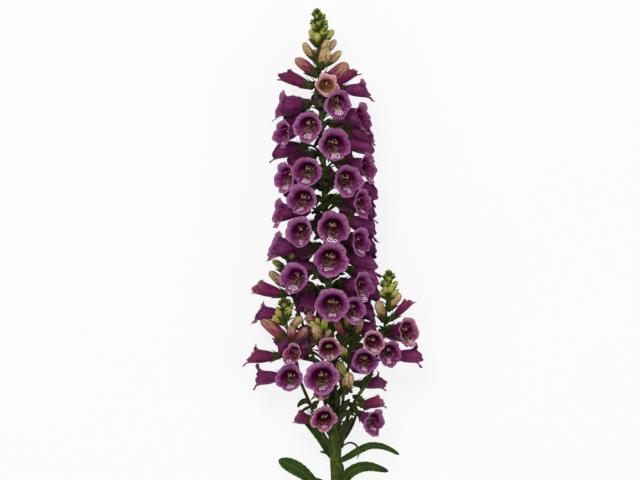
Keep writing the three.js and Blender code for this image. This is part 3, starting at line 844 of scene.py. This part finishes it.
def bud_skin(name, foot, middle, tip, seam, strong):
    """A closed bud: colour from foot to tip, mottled, with the folded lobes' seams."""
    s = Skin(name, 0.5, specular=0.14)
    uv = s.map("shape")
    x, y = s.split(uv)[:2]
    wander = s.grain(260)
    mottle = s.grain(620)
    at = s.plus(y, s.centred(wander, 0.5))
    colour = s.ramp(at, [(0.15, foot), (0.5, middle), (0.85, tip)])
    veins = s.streaks(uv, 24, 3.0)
    turn = s.plus(x, s.times(y, 0.12))
    fold = s.size(s.sine(s.times(turn, HALF_TURN * 4)))
    seams = s.times(s.fade(fold, 0.36, 0.04), s.fade(y, 0.3, 0.55))
    colour = s.over(colour, seam, s.fade(veins, 0.43, 0.6), strong)
    colour = s.over(colour, seam, s.fade(mottle, 0.46, 0.6), 0.75 * strong)
    colour = s.over(colour, seam, seams, 0.7)
    height = s.minus(s.times(veins, 0.5), seams)
    return s.finish(colour, height, 0.7, 0.0007, (wander, 0.25, 0.38))


def grain_skin(name, low, high, scale, rough=0.6):
    """Small parts: anthers, filaments, the cut face."""
    s = Skin(name, rough, specular=0.3)
    n = s.noise(s.place(), scale, 4, 0.65)
    colour = s.mix(s.fade(n, 0.35, 0.68), low, high)
    return s.finish(colour, n, 0.5, 0.0004, (n, 0.3, rough - 0.15))


# petal colours outside: base, tube, limb, edge, dark
OUTSIDE_COLOURS = {
    "ripe": [(98, 36, 76), (116, 34, 88), (138, 62, 114), (156, 86, 136), (72, 12, 52)],
    "young": [(92, 30, 64), (114, 30, 76), (130, 52, 92), (190, 136, 146), (72, 10, 46)],
    "first": [(92, 32, 56), (126, 38, 78), (154, 78, 98), (216, 170, 154), (80, 12, 44)],
    "fresh": [(90, 30, 58), (118, 32, 80), (132, 48, 90), (184, 128, 118), (72, 10, 46)],
}
# and inside: limb, edge, inner, throat, floor, ring, spot, pale
INSIDE_COLOURS = {
    "ripe": [
        (114, 38, 96), (168, 110, 156), (100, 12, 74), (92, 6, 54), (138, 102, 86),
        (240, 212, 218), (54, 0, 30), (206, 174, 146),
    ],
    "young": [
        (132, 56, 98), (198, 148, 162), (108, 14, 72), (94, 0, 48), (120, 58, 56),
        (240, 214, 208), (66, 4, 28), (200, 152, 108),
    ],
    "first": [
        (160, 74, 124), (230, 186, 196), (186, 130, 112), (142, 84, 62), (204, 160, 104),
        (240, 214, 196), (112, 16, 52), (240, 206, 150),
    ],
}
NET = {"first": 0.4}  # how far the mottled floor spreads over the throat


def painted(make, name, colours, *rest):
    return make(name, *(rgb(*c) for c in colours), *rest)


def named(start, kind):
    return start if kind == "ripe" else f"{start}_{kind}"


OUTSIDE = {
    k: painted(petal_outside, named("petal_outside", k), c) for k, c in OUTSIDE_COLOURS.items()
}
INSIDE = {
    k: painted(petal_inside, named("petal_inside", k), c, NET.get(k, 0.0))
    for k, c in INSIDE_COLOURS.items()
}
INSIDE["fresh"] = INSIDE["young"]
ANTHER = painted(grain_skin, "anther", [(150, 104, 76), (222, 190, 146)], 1500)
FILAMENT = painted(grain_skin, "filament", [(130, 60, 96), (186, 134, 146)], 900, 0.5)
STEM = painted(green, "stem", [(48, 60, 16), (72, 90, 28), (114, 130, 58)])
CUT = painted(grain_skin, "cut_face", [(140, 158, 84), (206, 214, 154)], 700, 0.7)
LEAF = painted(blade_skin, "leaf", [(22, 42, 2), (48, 72, 12), (72, 98, 26), (78, 102, 36)])
BRACT = painted(
    blade_skin, "bract", [(30, 36, 12), (52, 60, 22), (88, 96, 42), (86, 94, 46)], 6, 1.4
)
SEPAL = painted(
    blade_skin, "sepal", [(38, 44, 14), (64, 72, 26), (108, 110, 52), (102, 108, 54)], 5, 1.6
)
# bud colours: foot, middle, tip, seam; and how strong the seams are
BUD_COLOURS = {
    "green": ([(56, 84, 12), (108, 134, 34), (168, 178, 78), (44, 68, 8)], 0.65),
    "lime": ([(70, 98, 18), (156, 164, 60), (206, 204, 112), (112, 108, 40)], 0.65),
    "tan": ([(104, 110, 46), (184, 158, 104), (220, 202, 142), (130, 72, 60)], 0.72),
    "pink": ([(122, 34, 70), (158, 76, 92), (206, 160, 124), (104, 26, 56)], 0.7),
}
BUD = {k: painted(bud_skin, "bud_" + k, c, strong) for k, (c, strong) in BUD_COLOURS.items()}
FLOWER = {k: [OUTSIDE[k], INSIDE[k], ANTHER, FILAMENT] for k in OUTSIDE}


# ---------- flowers ----------
def bell_rows(runs):
    """Each bell's name, stem, mouth, turn, droop, size, look and width, from the runs."""
    for prefix, first, table, rows in runs:
        for number, (x, y, z, turn, droop, size, look, *wide) in enumerate(rows, first):
            name = f"{prefix}_{number:02d}"
            yield name, table, (x, y, z), turn, droop, size, look, *(wide or [1])


class Bell:
    """A bell's place: axis from base to mouth, the side its lip is on, and its size."""

    def __init__(self, base, axis, size, wide, look, seed):
        self.base, self.axis, self.size, self.wide = base, axis, size, size * wide
        self.lip = unit(-Y + axis * axis[1])
        self.side = np.cross(axis, self.lip)
        self.look = LOOKS[look]
        self.random = np.random.default_rng(seed)
        # the lip isn't quite under the mouth
        roll = math.radians(self.random.uniform(-13, 13))
        self.lip, self.side = (
            math.cos(roll) * self.lip + math.sin(roll) * self.side,
            math.cos(roll) * self.side - math.sin(roll) * self.lip,
        )

    def at(self, along, across, down):
        """Points from lengths along the axis, to the side and towards the lip."""
        along, across, down = np.broadcast_arrays(along, across, down)
        return (
            self.base
            + along[..., None] * self.axis * self.size
            + across[..., None] * self.side * self.wide
            + down[..., None] * self.lip * self.wide
        )

    def tube(self, a):
        """The tube's radius at a length along it."""
        end = TUBE[-1][1]
        return end * (tube_radius(a) / end) ** self.look.full


def bell_of(mouth, turn, droop, size, look, wide, seed):
    f, d = math.radians(turn), math.radians(droop)
    axis = np.array([math.sin(f) * math.cos(d), -math.sin(d), math.cos(f) * math.cos(d)])
    return Bell(place(mouth) - BELL_LENGTH * size * axis, axis, size, wide, look, seed)


def tube_radius(a):
    return np.vectorize(lambda v: through(TUBE, v, 1))(a)


def belly(a):
    """How far the tube sags towards its lip at a length along it."""
    return 1.1 * np.sin(np.pi * np.clip(a / BELL_LENGTH, 0, 1))


def corolla(shape, bell):
    """The bell's thin wall, out to its lobes and back inside, closed at the base."""
    look, rnd = bell.look, bell.random
    th = turns(COLS, -np.pi)
    ph = rnd.uniform(0, 2 * np.pi, 8)
    cos = np.cos(th)
    down = np.maximum(cos, 0) ** 1.3
    up = np.maximum(-cos, 0) ** 1.2

    def blend(top, side, low):
        return up * top + (1 - down - up) * side + down * low

    # the lower lobes are the broad ones
    wend = th - 0.2 * np.sin(th)
    lobe = np.abs(np.cos(2.5 * wend)) ** look.point
    # the two upper lobes are joined nearly to their ends
    notch = look.notch * (1 - 0.55 * np.maximum(-cos, 0) ** 8)
    reach = blend(*look.reach) * (1 - notch * (1 - lobe))
    # each lobe has its own length and curl
    which = np.round(wend / math.radians(72)).astype(int) % 5
    reach *= 1 + lobe * rnd.uniform(-0.15, 0.15, 5)[which]
    reach *= 1 + 0.05 * np.sin(3 * th + ph[0]) + 0.035 * look.frill * np.sin(11 * th + ph[1])
    turn = blend(*look.turn) + 14 * (1 - lobe) + lobe * rnd.uniform(-18, 18, 5)[which]
    turn = turn + 8 * np.sin(2 * th + ph[2]) + 7 * np.sin(7 * th + ph[3])
    turn = np.radians(turn + 4 * np.sin(11 * th + ph[5]))
    start = math.radians(3)
    # the limb's curve, away from the end of the tube
    s = np.linspace(0, 1, LIMB_ROWS + 1) ** 0.9
    along = np.zeros((LIMB_ROWS + 1, COLS))
    out = np.zeros((LIMB_ROWS + 1, COLS))
    lean = start + (turn - start)[None, :] * (s**look.bend)[:, None]
    for i in range(LIMB_ROWS):
        step = reach * (s[i + 1] - s[i])
        mid = (lean[i] + lean[i + 1]) / 2
        along[i + 1] = along[i] + step * np.cos(mid)
        out[i + 1] = out[i] + step * np.sin(mid)
    # fine crimps that grow towards the edge
    crimp = 0.36 * np.sin(10 * th + ph[6]) + 0.36 * np.sin(6 * th + ph[7])
    along += (s**2)[:, None] * (look.frill * crimp - 1.6 * (1 - lobe) * down)[None, :]
    end = bell.tube(LIMB_FROM)
    folds = 0.016 * np.cos(5 * th) + 0.012 * np.sin(3 * th + ph[4])
    u = np.linspace(0, 1, COLS + 1)
    around = np.linspace(-np.pi, np.pi, COLS + 1) * MOUTH_ROUND + MAP_STEP * rnd.integers(1, 30)
    shift = MAP_STEP * rnd.integers(1, 30)
    rows, maps, spots, slots = [], [], [], []

    def put(a, r, extra, v, mm, slot):
        """A ring at lengths a and radii r, with the limb's own spread as extra."""
        tilt = a + look.slant * (np.clip(a, 0, None) / BELL_LENGTH) ** 2 * cos
        grown = r * (1 + folds * np.clip(a / 20, 0, 1))
        across = np.sin(th) * (grown + extra)
        rows.append(pressed(bell.at(tilt, across, cos * (grown * TUBE_HEIGHT + extra) + belly(a))))
        maps.append(np.stack([u, np.broadcast_to(v, COLS + 1)], 1))
        wide = np.append(mm, mm[0]) if np.ndim(mm) else np.full(COLS + 1, mm)
        spots.append(np.stack([around, wide + shift], 1))
        slots.append(slot)

    for a in (0, 0.7, 1.8, 3.4, 5.5, 8, 10.5, 13, 15.5, 18, 20, 22.2):
        put(a, bell.tube(a), 0, TUBE_SHARE * a / LIMB_FROM, a, 0)
    v = TUBE_SHARE + (1 - TUBE_SHARE) * s
    for i in range(LIMB_ROWS + 1):
        put(LIMB_FROM + along[i], end, out[i], v[i], LIMB_FROM + s[i] * reach, 0)
    wall = 0.45 - 0.2 * s
    sin_edge, cos_edge, half = np.sin(lean[-1]), np.cos(lean[-1]), wall[-1] / 2
    edge = LIMB_FROM + along[-1] + half * sin_edge + 0.1 * cos_edge
    put(edge, end, out[-1] - half * cos_edge + 0.1 * sin_edge, 1.0, LIMB_FROM + reach, 1)
    for i in range(LIMB_ROWS, -1, -1):
        inner = LIMB_FROM + along[i] + wall[i] * np.sin(lean[i])
        spread = out[i] - wall[i] * np.cos(lean[i])
        put(inner, end, spread, v[i], LIMB_FROM + s[i] * reach, 1)
    for a in (22, 20, 17.5, 15, 12, 9, 6):
        put(a, bell.tube(a) - 0.5, 0, TUBE_SHARE * a / LIMB_FROM, a, 1)
    maps, spots = np.array(maps), np.array(spots)
    first = shape.grid(np.array(rows), maps, slots[1:], around=True, spots=spots)
    ring = first + np.arange(COLS)
    shape.fan(ring, pressed(bell.at(-0.2, 0.0, 0.0)), maps[0], (0.5, 0), 0, True)
    ring = ring + (len(rows) - 1) * COLS
    shape.fan(ring, pressed(bell.at(5.2, 0.0, belly(6.0))), maps[-1], (0.5, 0.1), 1)


def stamens(shape, bell):
    """Four stamens and a style along the top of the throat."""
    rnd, size = bell.random, bell.size

    def thread(t, where, radii):
        """A thread through places given as a length and a share of the tube's radius there."""
        path = []
        for a, share in where:
            r = bell.tube(a) * share
            path.append(bell.at(a, math.sin(t) * r, math.cos(t) * r * TUBE_HEIGHT + belly(a)))
        path = smooth_path(path, 9)
        shape.tube(path, radii, 6, 3)
        return path[-1]

    for turn, end, high in ((-15, 23, 0.36), (17, 21.5, 0.34), (-40, 17, 0.5), (38, 16.5, 0.52)):
        t = math.radians(180 + 1.3 * turn + rnd.uniform(-16, 16))
        end += rnd.uniform(-2, 1.5)
        where = [(5, 0.7), (9, 0.74), (12, 0.72), (end - 2, high + 0.1), (end, high)]
        tip = thread(t, where, np.linspace(0.5, 0.3, 9) * size)
        for way in (-1, 1):
            sway = bell.side * (way * 0.4 + rnd.uniform(-0.3, 0.3))
            hang = unit(bell.lip + sway + bell.axis * rnd.uniform(-0.2, 0.3))
            wide = unit(np.cross(hang, bell.axis))
            thick = np.cross(wide, hang)
            shape.blob(
                tip + hang * 1.1 * size, hang * 1.45 * size, wide * 0.5 * size,
                thick * 0.5 * size, 2,
            )
    # the style, with its forked end
    where = [(6, 0.4), (14, 0.55), (22, 0.6), (27.5, 0.5)]
    tip = thread(math.pi, where, 0.38 * size)
    for way in (-1, 1):
        d = unit(bell.axis + bell.side * way * 0.5)
        b = unit(np.cross(d, bell.lip))
        shape.blob(tip + d * 0.8, d * 1.1, b * 0.42, np.cross(b, d) * 0.42, 3, 5, 6)


def calyx(shape, axes, radius, length, broad, spread, flat=1.0, sag=lambda a: 0.0):
    """Five sepals that clasp the foot of a bell or bud. radius gives its girth in mm."""
    base, axis, lip, side = axes
    rows, cols = 9, 7
    t = np.linspace(0, 1, rows)
    w = np.linspace(-1, 1, cols)
    for k, turn in enumerate((180, 108, -108, 36, -36)):
        # the one at the top is smaller
        small, short = (0.6, 0.85) if k == 0 else (1.0, 1.0)
        a = -1.0 + (length * short + 1.0) * t
        r = np.array([radius(max(v, 0)) for v in a])
        r = np.maximum(r, radius(0) * (0.72 + 0.28 * np.clip((a + 1) / 1.5, 0, 1)))
        half = broad * small * (0.5 + 0.5 * np.sin(np.pi * np.clip(t * 1.15 + 0.08, 0, 1)))
        half = half * (1 - t**3.2) ** 0.9 + 0.12
        angle = math.radians(turn) + (w[None, :] * half[:, None]) / (r[:, None] + 0.4)
        lift = r[:, None] + 0.42 + spread * t[:, None] ** 3 + 0.3 * (1 - w[None, :] ** 2) + 0.05 * k
        middle = np.array([sag(max(v, 0)) for v in a])[:, None]
        out = np.sin(angle)[..., None] * side + np.cos(angle)[..., None] * lip
        top = (
            base
            + a[:, None, None] * axis
            + (np.sin(angle) * lift)[..., None] * side
            + (np.cos(angle) * lift * flat + middle)[..., None] * lip
        )
        shape.sheet(pressed(top), out, 0.5, 0)


def bell_calyx(shape, bell):
    size, wide = bell.size, bell.wide
    calyx(
        shape, (bell.base, bell.axis, bell.lip, bell.side), lambda a: bell.tube(a / size) * wide,
        11.5 * size, 4.3 * wide**0.5, 1.3, TUBE_HEIGHT + 0.06, lambda a: belly(a / size) * wide,
    )


def stalk_of(table, base, axis):
    """The curve of a bell's stalk, from the stem's centre to the bell's base, and its way out."""
    near = stem_at(table, base[1])
    reach = math.hypot(base[0] - near[0], base[2] - near[2])
    start = stem_at(table, base[1] - 4 - 0.35 * reach)
    out = unit(np.array([base[0] - start[0], 0, base[2] - start[2]]))
    second = start + out * 0.4 * reach + 0.4 * reach * Y
    return bezier(start, second, base - axis * 0.45 * reach, base, 12), out


def bract(shape, table, y, out, length, half, rise, fall, seed):
    """A narrow pointed leaf that grows from the stem under a stalk."""
    rnd = np.random.default_rng(seed)
    rows, cols = 11, 5
    t = np.linspace(0, 1, rows)
    w = np.linspace(-1, 1, cols)
    lean = np.radians(rise + fall * t**0.8 + rnd.uniform(-8, 8))
    sway = rnd.uniform(-0.35, 0.35)
    across = np.cross(Y, out)
    step = length / (rows - 1)
    mid = [stem_at(table, y) + out * stem_radius(table, y) * 0.7]
    for i in range(rows - 1):
        m = (lean[i] + lean[i + 1]) / 2
        mid.append(mid[-1] + step * (math.cos(m) * Y + math.sin(m) * out + sway * t[i] * across))
    wide = half * (np.sin(np.pi * np.clip(t * 0.88 + 0.12, 0, 1)) ** 0.8) + 0.15
    normal = np.cos(lean)[:, None] * -out + np.sin(lean)[:, None] * Y
    cup = 0.35 * wide[:, None] * np.abs(w)[None, :] ** 1.6
    shape.sheet(blade_points(np.array(mid), across, normal, w, wide, cup), normal[:, None], 0.45, 1)


BUD_PROFILE = [
    (0, 0.5), (0.12, 0.68), (0.35, 0.92), (0.58, 1.0), (0.78, 0.92), (0.92, 0.64), (0.99, 0.22),
]
BUD_STOUT = {"green": 1.6, "lime": 1.3, "tan": 1.22, "pink": 1.22}
BUD_COVER = {"green": 0.8, "lime": 0.6, "tan": 0.5, "pink": 0.45}  # the sepals' share of its length


def bud(growth, stage, start, end, radius, seed):
    """A bud on its short stalk, with its sepals."""
    axis = unit(end - start)
    whole = np.linalg.norm(end - start)
    lip = unit(-Y + axis * axis[1]) if abs(axis[1]) < 0.98 else unit(-Z + axis * axis[2])
    side = np.cross(axis, lip)
    rnd = np.random.default_rng(seed)
    whole *= 1.09
    stalk = min(0.16 * whole, 3)
    radius *= BUD_STOUT[stage]
    base = start + axis * stalk
    length = whole - stalk
    path = np.linspace(start, base + axis * 0.4, 4)
    growth.stalks.tube(path, [0.9, 0.9, 1.0, 0.42 * radius + 0.4], 7, 0)
    rows, cols = 13, 15
    t = np.linspace(0, 0.985, rows) ** 0.92
    th = turns(cols)
    r = np.array([through(BUD_PROFILE, v, 1) for v in t]) * radius
    folded = np.clip(t[:, None] * 2 - 0.7, 0, 1)
    girth = r[:, None] * (1 + 0.05 * np.cos(5 * th[None, :] + 4 * t[:, None]) * folded)
    bend = 0.1 * length * np.sin(np.pi * t) * rnd.uniform(-0.6, 0.6)
    p = (
        base
        + (t * length)[:, None, None] * axis
        + (girth * np.sin(th)[None, :])[..., None] * side
        + (girth * np.cos(th)[None, :] + bend[:, None])[..., None] * lip
    )
    uv = map_grid(np.linspace(0, 1, cols + 1), t)
    slot = list(BUD).index(stage)
    ring = growth.buds.grid(p, uv, slot, around=True) + np.arange(cols)
    growth.buds.fan(ring, base, uv[0], (0.5, 0), slot, True)
    growth.buds.fan(ring + (rows - 1) * cols, base + axis * length, uv[-1], (0.5, 1), slot)
    calyx(
        growth.greens, (base, axis, lip, side),
        lambda a: through(BUD_PROFILE, min(a / length, 0.97), 1) * radius,
        BUD_COVER[stage] * length, 0.78 * radius, 0.25 * radius,
    )


def closed_bell(growth, start, tip, radius, seed):
    """A bell that hasn't opened yet, on a straight stalk."""
    whole = np.linalg.norm(tip - start)
    axis = unit(tip - start)
    stalk = min(9, 0.3 * whole)
    size = (whole - stalk) / CLOSED_LENGTH
    wide = radius / CLOSED_RADIUS / size
    bell = Bell(start + axis * stalk, axis, size, wide, "closed", seed)
    corolla(growth.shut, bell)
    radii = [1.2, 1.2, 1.3, 1.9, 0.9 * bell.tube(0) * bell.wide]
    growth.stalks.tube(np.linspace(start, bell.base, 5), radii, 9, 0, (None, 0))
    bell_calyx(growth.greens, bell)


def curl(shape, half, points, seed):
    """A small leaf along a path, wavy at its edge and pointed."""
    rnd = np.random.default_rng(seed)
    rows, cols = 15, 5
    mid = smooth_path([place(p) for p in points], rows)
    across, up = level_frame(mid)
    t, w = np.linspace(0, 1, rows), np.linspace(-1, 1, cols)
    wide = half * np.sin(np.pi * np.clip(0.12 + 0.86 * t, 0, 1)) ** 0.7 + 0.12
    wave = np.sin(t[:, None] * 16 + w[None, :] * 2 + rnd.uniform(0, 6))
    rise = 0.3 * wide[:, None] * np.abs(w)[None, :] + 0.22 * half * wave * np.abs(w)
    shape.sheet(blade_points(mid, across, up, w, wide, rise), up[:, None], 0.5, 1)


def leaf(name, midrib, half, fold, widest, teeth, seed):
    """A leaf blade with a toothed edge, hollowed along its midrib."""
    rnd = np.random.default_rng(seed)
    rows, cols = teeth * 5 + 1, 13
    mid = smooth_path([place(p) for p in midrib], rows)
    across, up = level_frame(mid)
    t, w = np.linspace(0, 1, rows), np.linspace(-1, 1, cols)
    body = np.sin(np.pi * t ** (math.log(0.5) / math.log(widest)))
    wide = 1.3 + (half - 1.3) * np.clip(body, 0, 1) ** 0.75
    wide[-3:] = wide[-4] * np.array([0.8, 0.5, 0.12])
    scallop = np.abs(np.sin(np.pi * teeth * t)) ** 0.6
    wide = wide * (1 + 0.07 * scallop * np.clip(body * 1.5, 0, 1))
    ph = rnd.uniform(0, 6, 4)
    wave = np.sin(t[:, None] * 17 + w[None, :] * 1.2 + ph[0])
    ripple = 0.09 * half * wave * np.abs(w)[None, :] ** 2
    ripple += 0.06 * half * np.sin(t[:, None] * 31 + ph[1]) * w[None, :] ** 3
    rise = np.abs(w)[None, :] * fold * (wide / half)[:, None]
    rise = rise + ripple * np.clip(body, 0, 1)[:, None]
    vein = 0.22 * np.exp(-((w / 0.12) ** 2))[None, :]
    top = blade_points(mid, across, up, w, wide, rise - vein + 0.5)
    shape = Shape()
    thick = 0.55 + 0.9 * np.exp(-((w / 0.14) ** 2))[None, :] * (1 - 0.7 * t)[:, None]
    shape.sheet(top, up[:, None], thick, 0)
    # the leaf's stalk, clasping the stem
    shape.tube(mid[: rows // 6], np.linspace(1.5, 1.1, rows // 6), 8, 1)
    shape.piece("blade_" + name, [LEAF, STEM], "leaf", ["leaf_" + name])


# ---------- build ----------
class Growth:
    """What is gathered into a growth's own pieces."""

    def __init__(self):
        self.stalks, self.greens, self.buds, self.shut = Shape(), Shape(), Shape(), Shape()


growths = {name: Growth() for name, _ in GROWTHS}
growth_of = {id(t): growths[name] for name, tables in GROWTHS for t in tables}

for name, tables in GROWTHS:
    for k, table in enumerate(tables):
        first, last = table[0][0], table[-1][0]
        main = table is MAIN
        ys = np.linspace(first, last, int((last - first) / (4 if main else 5)) + 1)
        if main:
            # stouter below the flowers, most of all where the side shoots leave it
            stout = 1 + 0.14 / (1 + np.exp((ys + 118) / 6))
            stout = stout + 0.36 * np.exp(-(((ys + 152) / 22) ** 2))
        else:
            stout = np.full(len(ys), 0.78)
        radii = [much * stem_radius(table, y) for much, y in zip(stout, ys)]
        path = np.array([stem_at(table, y) for y in ys])
        ends = (1 if main else None, None)
        growths[name].stalks.tube(path, radii, 18 if main else 12, 0, ends, 0.045, 5, k)

nodes = {name for name, *_ in bell_rows(BELLS)}
for seed, (name, table, *rest) in enumerate(bell_rows(BELLS + FILLERS)):
    bell = bell_of(*rest, seed + BELL_SEED)
    shape = Shape()
    corolla(shape, bell)
    stamens(shape, bell)
    stands_for = ["corolla_" + name] if name in nodes else []
    shape.piece("bell_" + name, FLOWER[bell.look.skin], "petal", stands_for)
    growth = growth_of[id(table)]
    path, out = stalk_of(table, bell.base, bell.axis)
    radii = [1.25] * 9 + [1.5, 2.1, 0.93 * bell.tube(0) * bell.wide]
    growth.stalks.tube(path, radii, 9, 0, (None, 0))
    bell_calyx(growth.greens, bell)
    bract(growth.greens, table, path[0][1] - 1, out, 17 + (seed * 7) % 8, 3.0, 30, 62, seed)

bud_rows = [(table, stage, *row) for table, stage, rows in BUDS for row in rows]
for seed, (table, stage, foot, x, y, z, radius) in enumerate(bud_rows):
    growth = growth_of[id(table)]
    start, tip = stem_at(table, foot), place((x, y, z))
    if stage == "closed":
        closed_bell(growth, start, tip, radius, seed + CLOSED_SEED)
    else:
        bud(growth, stage, start, tip, radius, seed + BUD_SEED)
    out = np.array([tip[0] - start[0], 0, tip[2] - start[2]])
    out = unit(out) if np.linalg.norm(out) > 0.5 else Z
    long = {"green": 6, "lime": 10, "tan": 13, "pink": 14, "closed": 16}[stage]
    half = 0.7 + long * 0.11
    bract(growth.greens, table, foot - 1, out, long, half, 14, 34, seed + BRACT_SEED)

# bracts between the stalks, all round the stems
rnd = np.random.default_rng(71)
for table, low, high, step in (
    (MAIN, -150, 232, 4.6), (SHOOT_FRONT, -146, -40, 9), (SHOOT_FRONT_RIGHT, -146, -40, 9),
    (SHOOT_RIGHT, -120, 0, 9), (SHOOT_LEFT, -70, -20, 8), (SHOOT_LEFT_BACK, -30, 40, 9),
):
    for k, y in enumerate(np.arange(low, high, step)):
        t = 2.4 * k + rnd.uniform(-0.4, 0.4)
        out = unit(np.array([math.cos(t), 0, math.sin(t) + 0.25]))
        length, half = rnd.uniform(10, 17), rnd.uniform(2, 3)
        greens = growth_of[id(table)].greens
        bract(greens, table, y, out, length, half, 25, 65, BETWEEN_SEED + k)
curl_rows = [(name, *row) for name, rows in CURLS for row in rows]
for seed, (name, half, points) in enumerate(curl_rows):
    curl(growths[name].greens, half, points, seed + CURL_SEED)

for name, growth in growths.items():
    short = name.replace("_stem", "")
    growth.stalks.piece("stalks_" + short, [STEM, CUT], "stem", [name])
    growth.greens.piece("sepals_" + short, [SEPAL, BRACT], "leaf")
    if growth.buds.count:
        growth.buds.piece("buds_" + short, list(BUD.values()), "petal")
    if growth.shut.count:
        growth.shut.piece("shut_bells_" + short, FLOWER["fresh"], "petal")
for seed, row in enumerate(LEAVES):
    leaf(*row, seed + LEAF_SEED)

# ---------- floor, light and camera ----------
floor_mesh = bpy.data.meshes.new("floor")
span, cells = 30.0, 12
line = np.linspace(-span, span, cells + 1)
ground = [(x, y, 0.0) for y in line for x in line]
corners = [j * (cells + 1) + i for j in range(cells) for i in range(cells)]
squares = [(k, k + 1, k + cells + 2, k + cells + 1) for k in corners]
floor_mesh.from_pydata(ground, [], squares)
s = Skin("floor", 0.85, specular=0.1)
paper = s.grain(3, 2)
# paper on a light table, so that the ground stays pale under the flowers
s.shader.inputs["Emission Color"].default_value = (1, 1, 1, 1)
s.shader.inputs["Emission Strength"].default_value = 0.84
colour = s.mix(paper, (0.12, 0.12, 0.12, 1), (0.13, 0.13, 0.129, 1))
floor_mesh.materials.append(s.finish(colour, s.grain(900), 0.03))
floor = bpy.data.objects.new("floor", floor_mesh)
bpy.context.scene.collection.objects.link(floor)

world = bpy.data.worlds.new("studio")
bpy.context.scene.world = world
world.use_nodes = True
world.node_tree.nodes["Background"].inputs["Color"].default_value = (1, 1, 1, 1)
world.node_tree.nodes["Background"].inputs["Strength"].default_value = 0.45


def softbox(name, at, size, power):
    data = bpy.data.lights.new(name, "AREA")
    data.shape, data.size, data.energy = "SQUARE", size, power
    o = bpy.data.objects.new(name, data)
    bpy.context.scene.collection.objects.link(o)
    o.location = at
    o.rotation_euler = (Vector((0, 0, 0.04)) - Vector(at)).to_track_quat("-Z", "Y").to_euler()


softbox("key", (-0.6, 1.15, 2.0), 0.9, 25)
softbox("fill", (1.3, -0.5, 1.5), 1.2, 9)
softbox("back_fill", (-1.2, -1.0, 1.3), 1.0, 5)

VIEW_HEIGHT = 4.0
MIDDLE = 0.045
VIEW_WIDTH = 0.672
camera_data = bpy.data.cameras.new("camera")
camera_data.sensor_width = 36
camera_data.lens = 36 * (VIEW_HEIGHT - MIDDLE) / VIEW_WIDTH
camera_data.clip_end = 100
camera = bpy.data.objects.new("camera", camera_data)
bpy.context.scene.collection.objects.link(camera)
camera.location = (-0.0152, 0.0567, VIEW_HEIGHT)
bpy.context.scene.camera = camera
bpy.context.scene.view_settings.view_transform = "Standard"
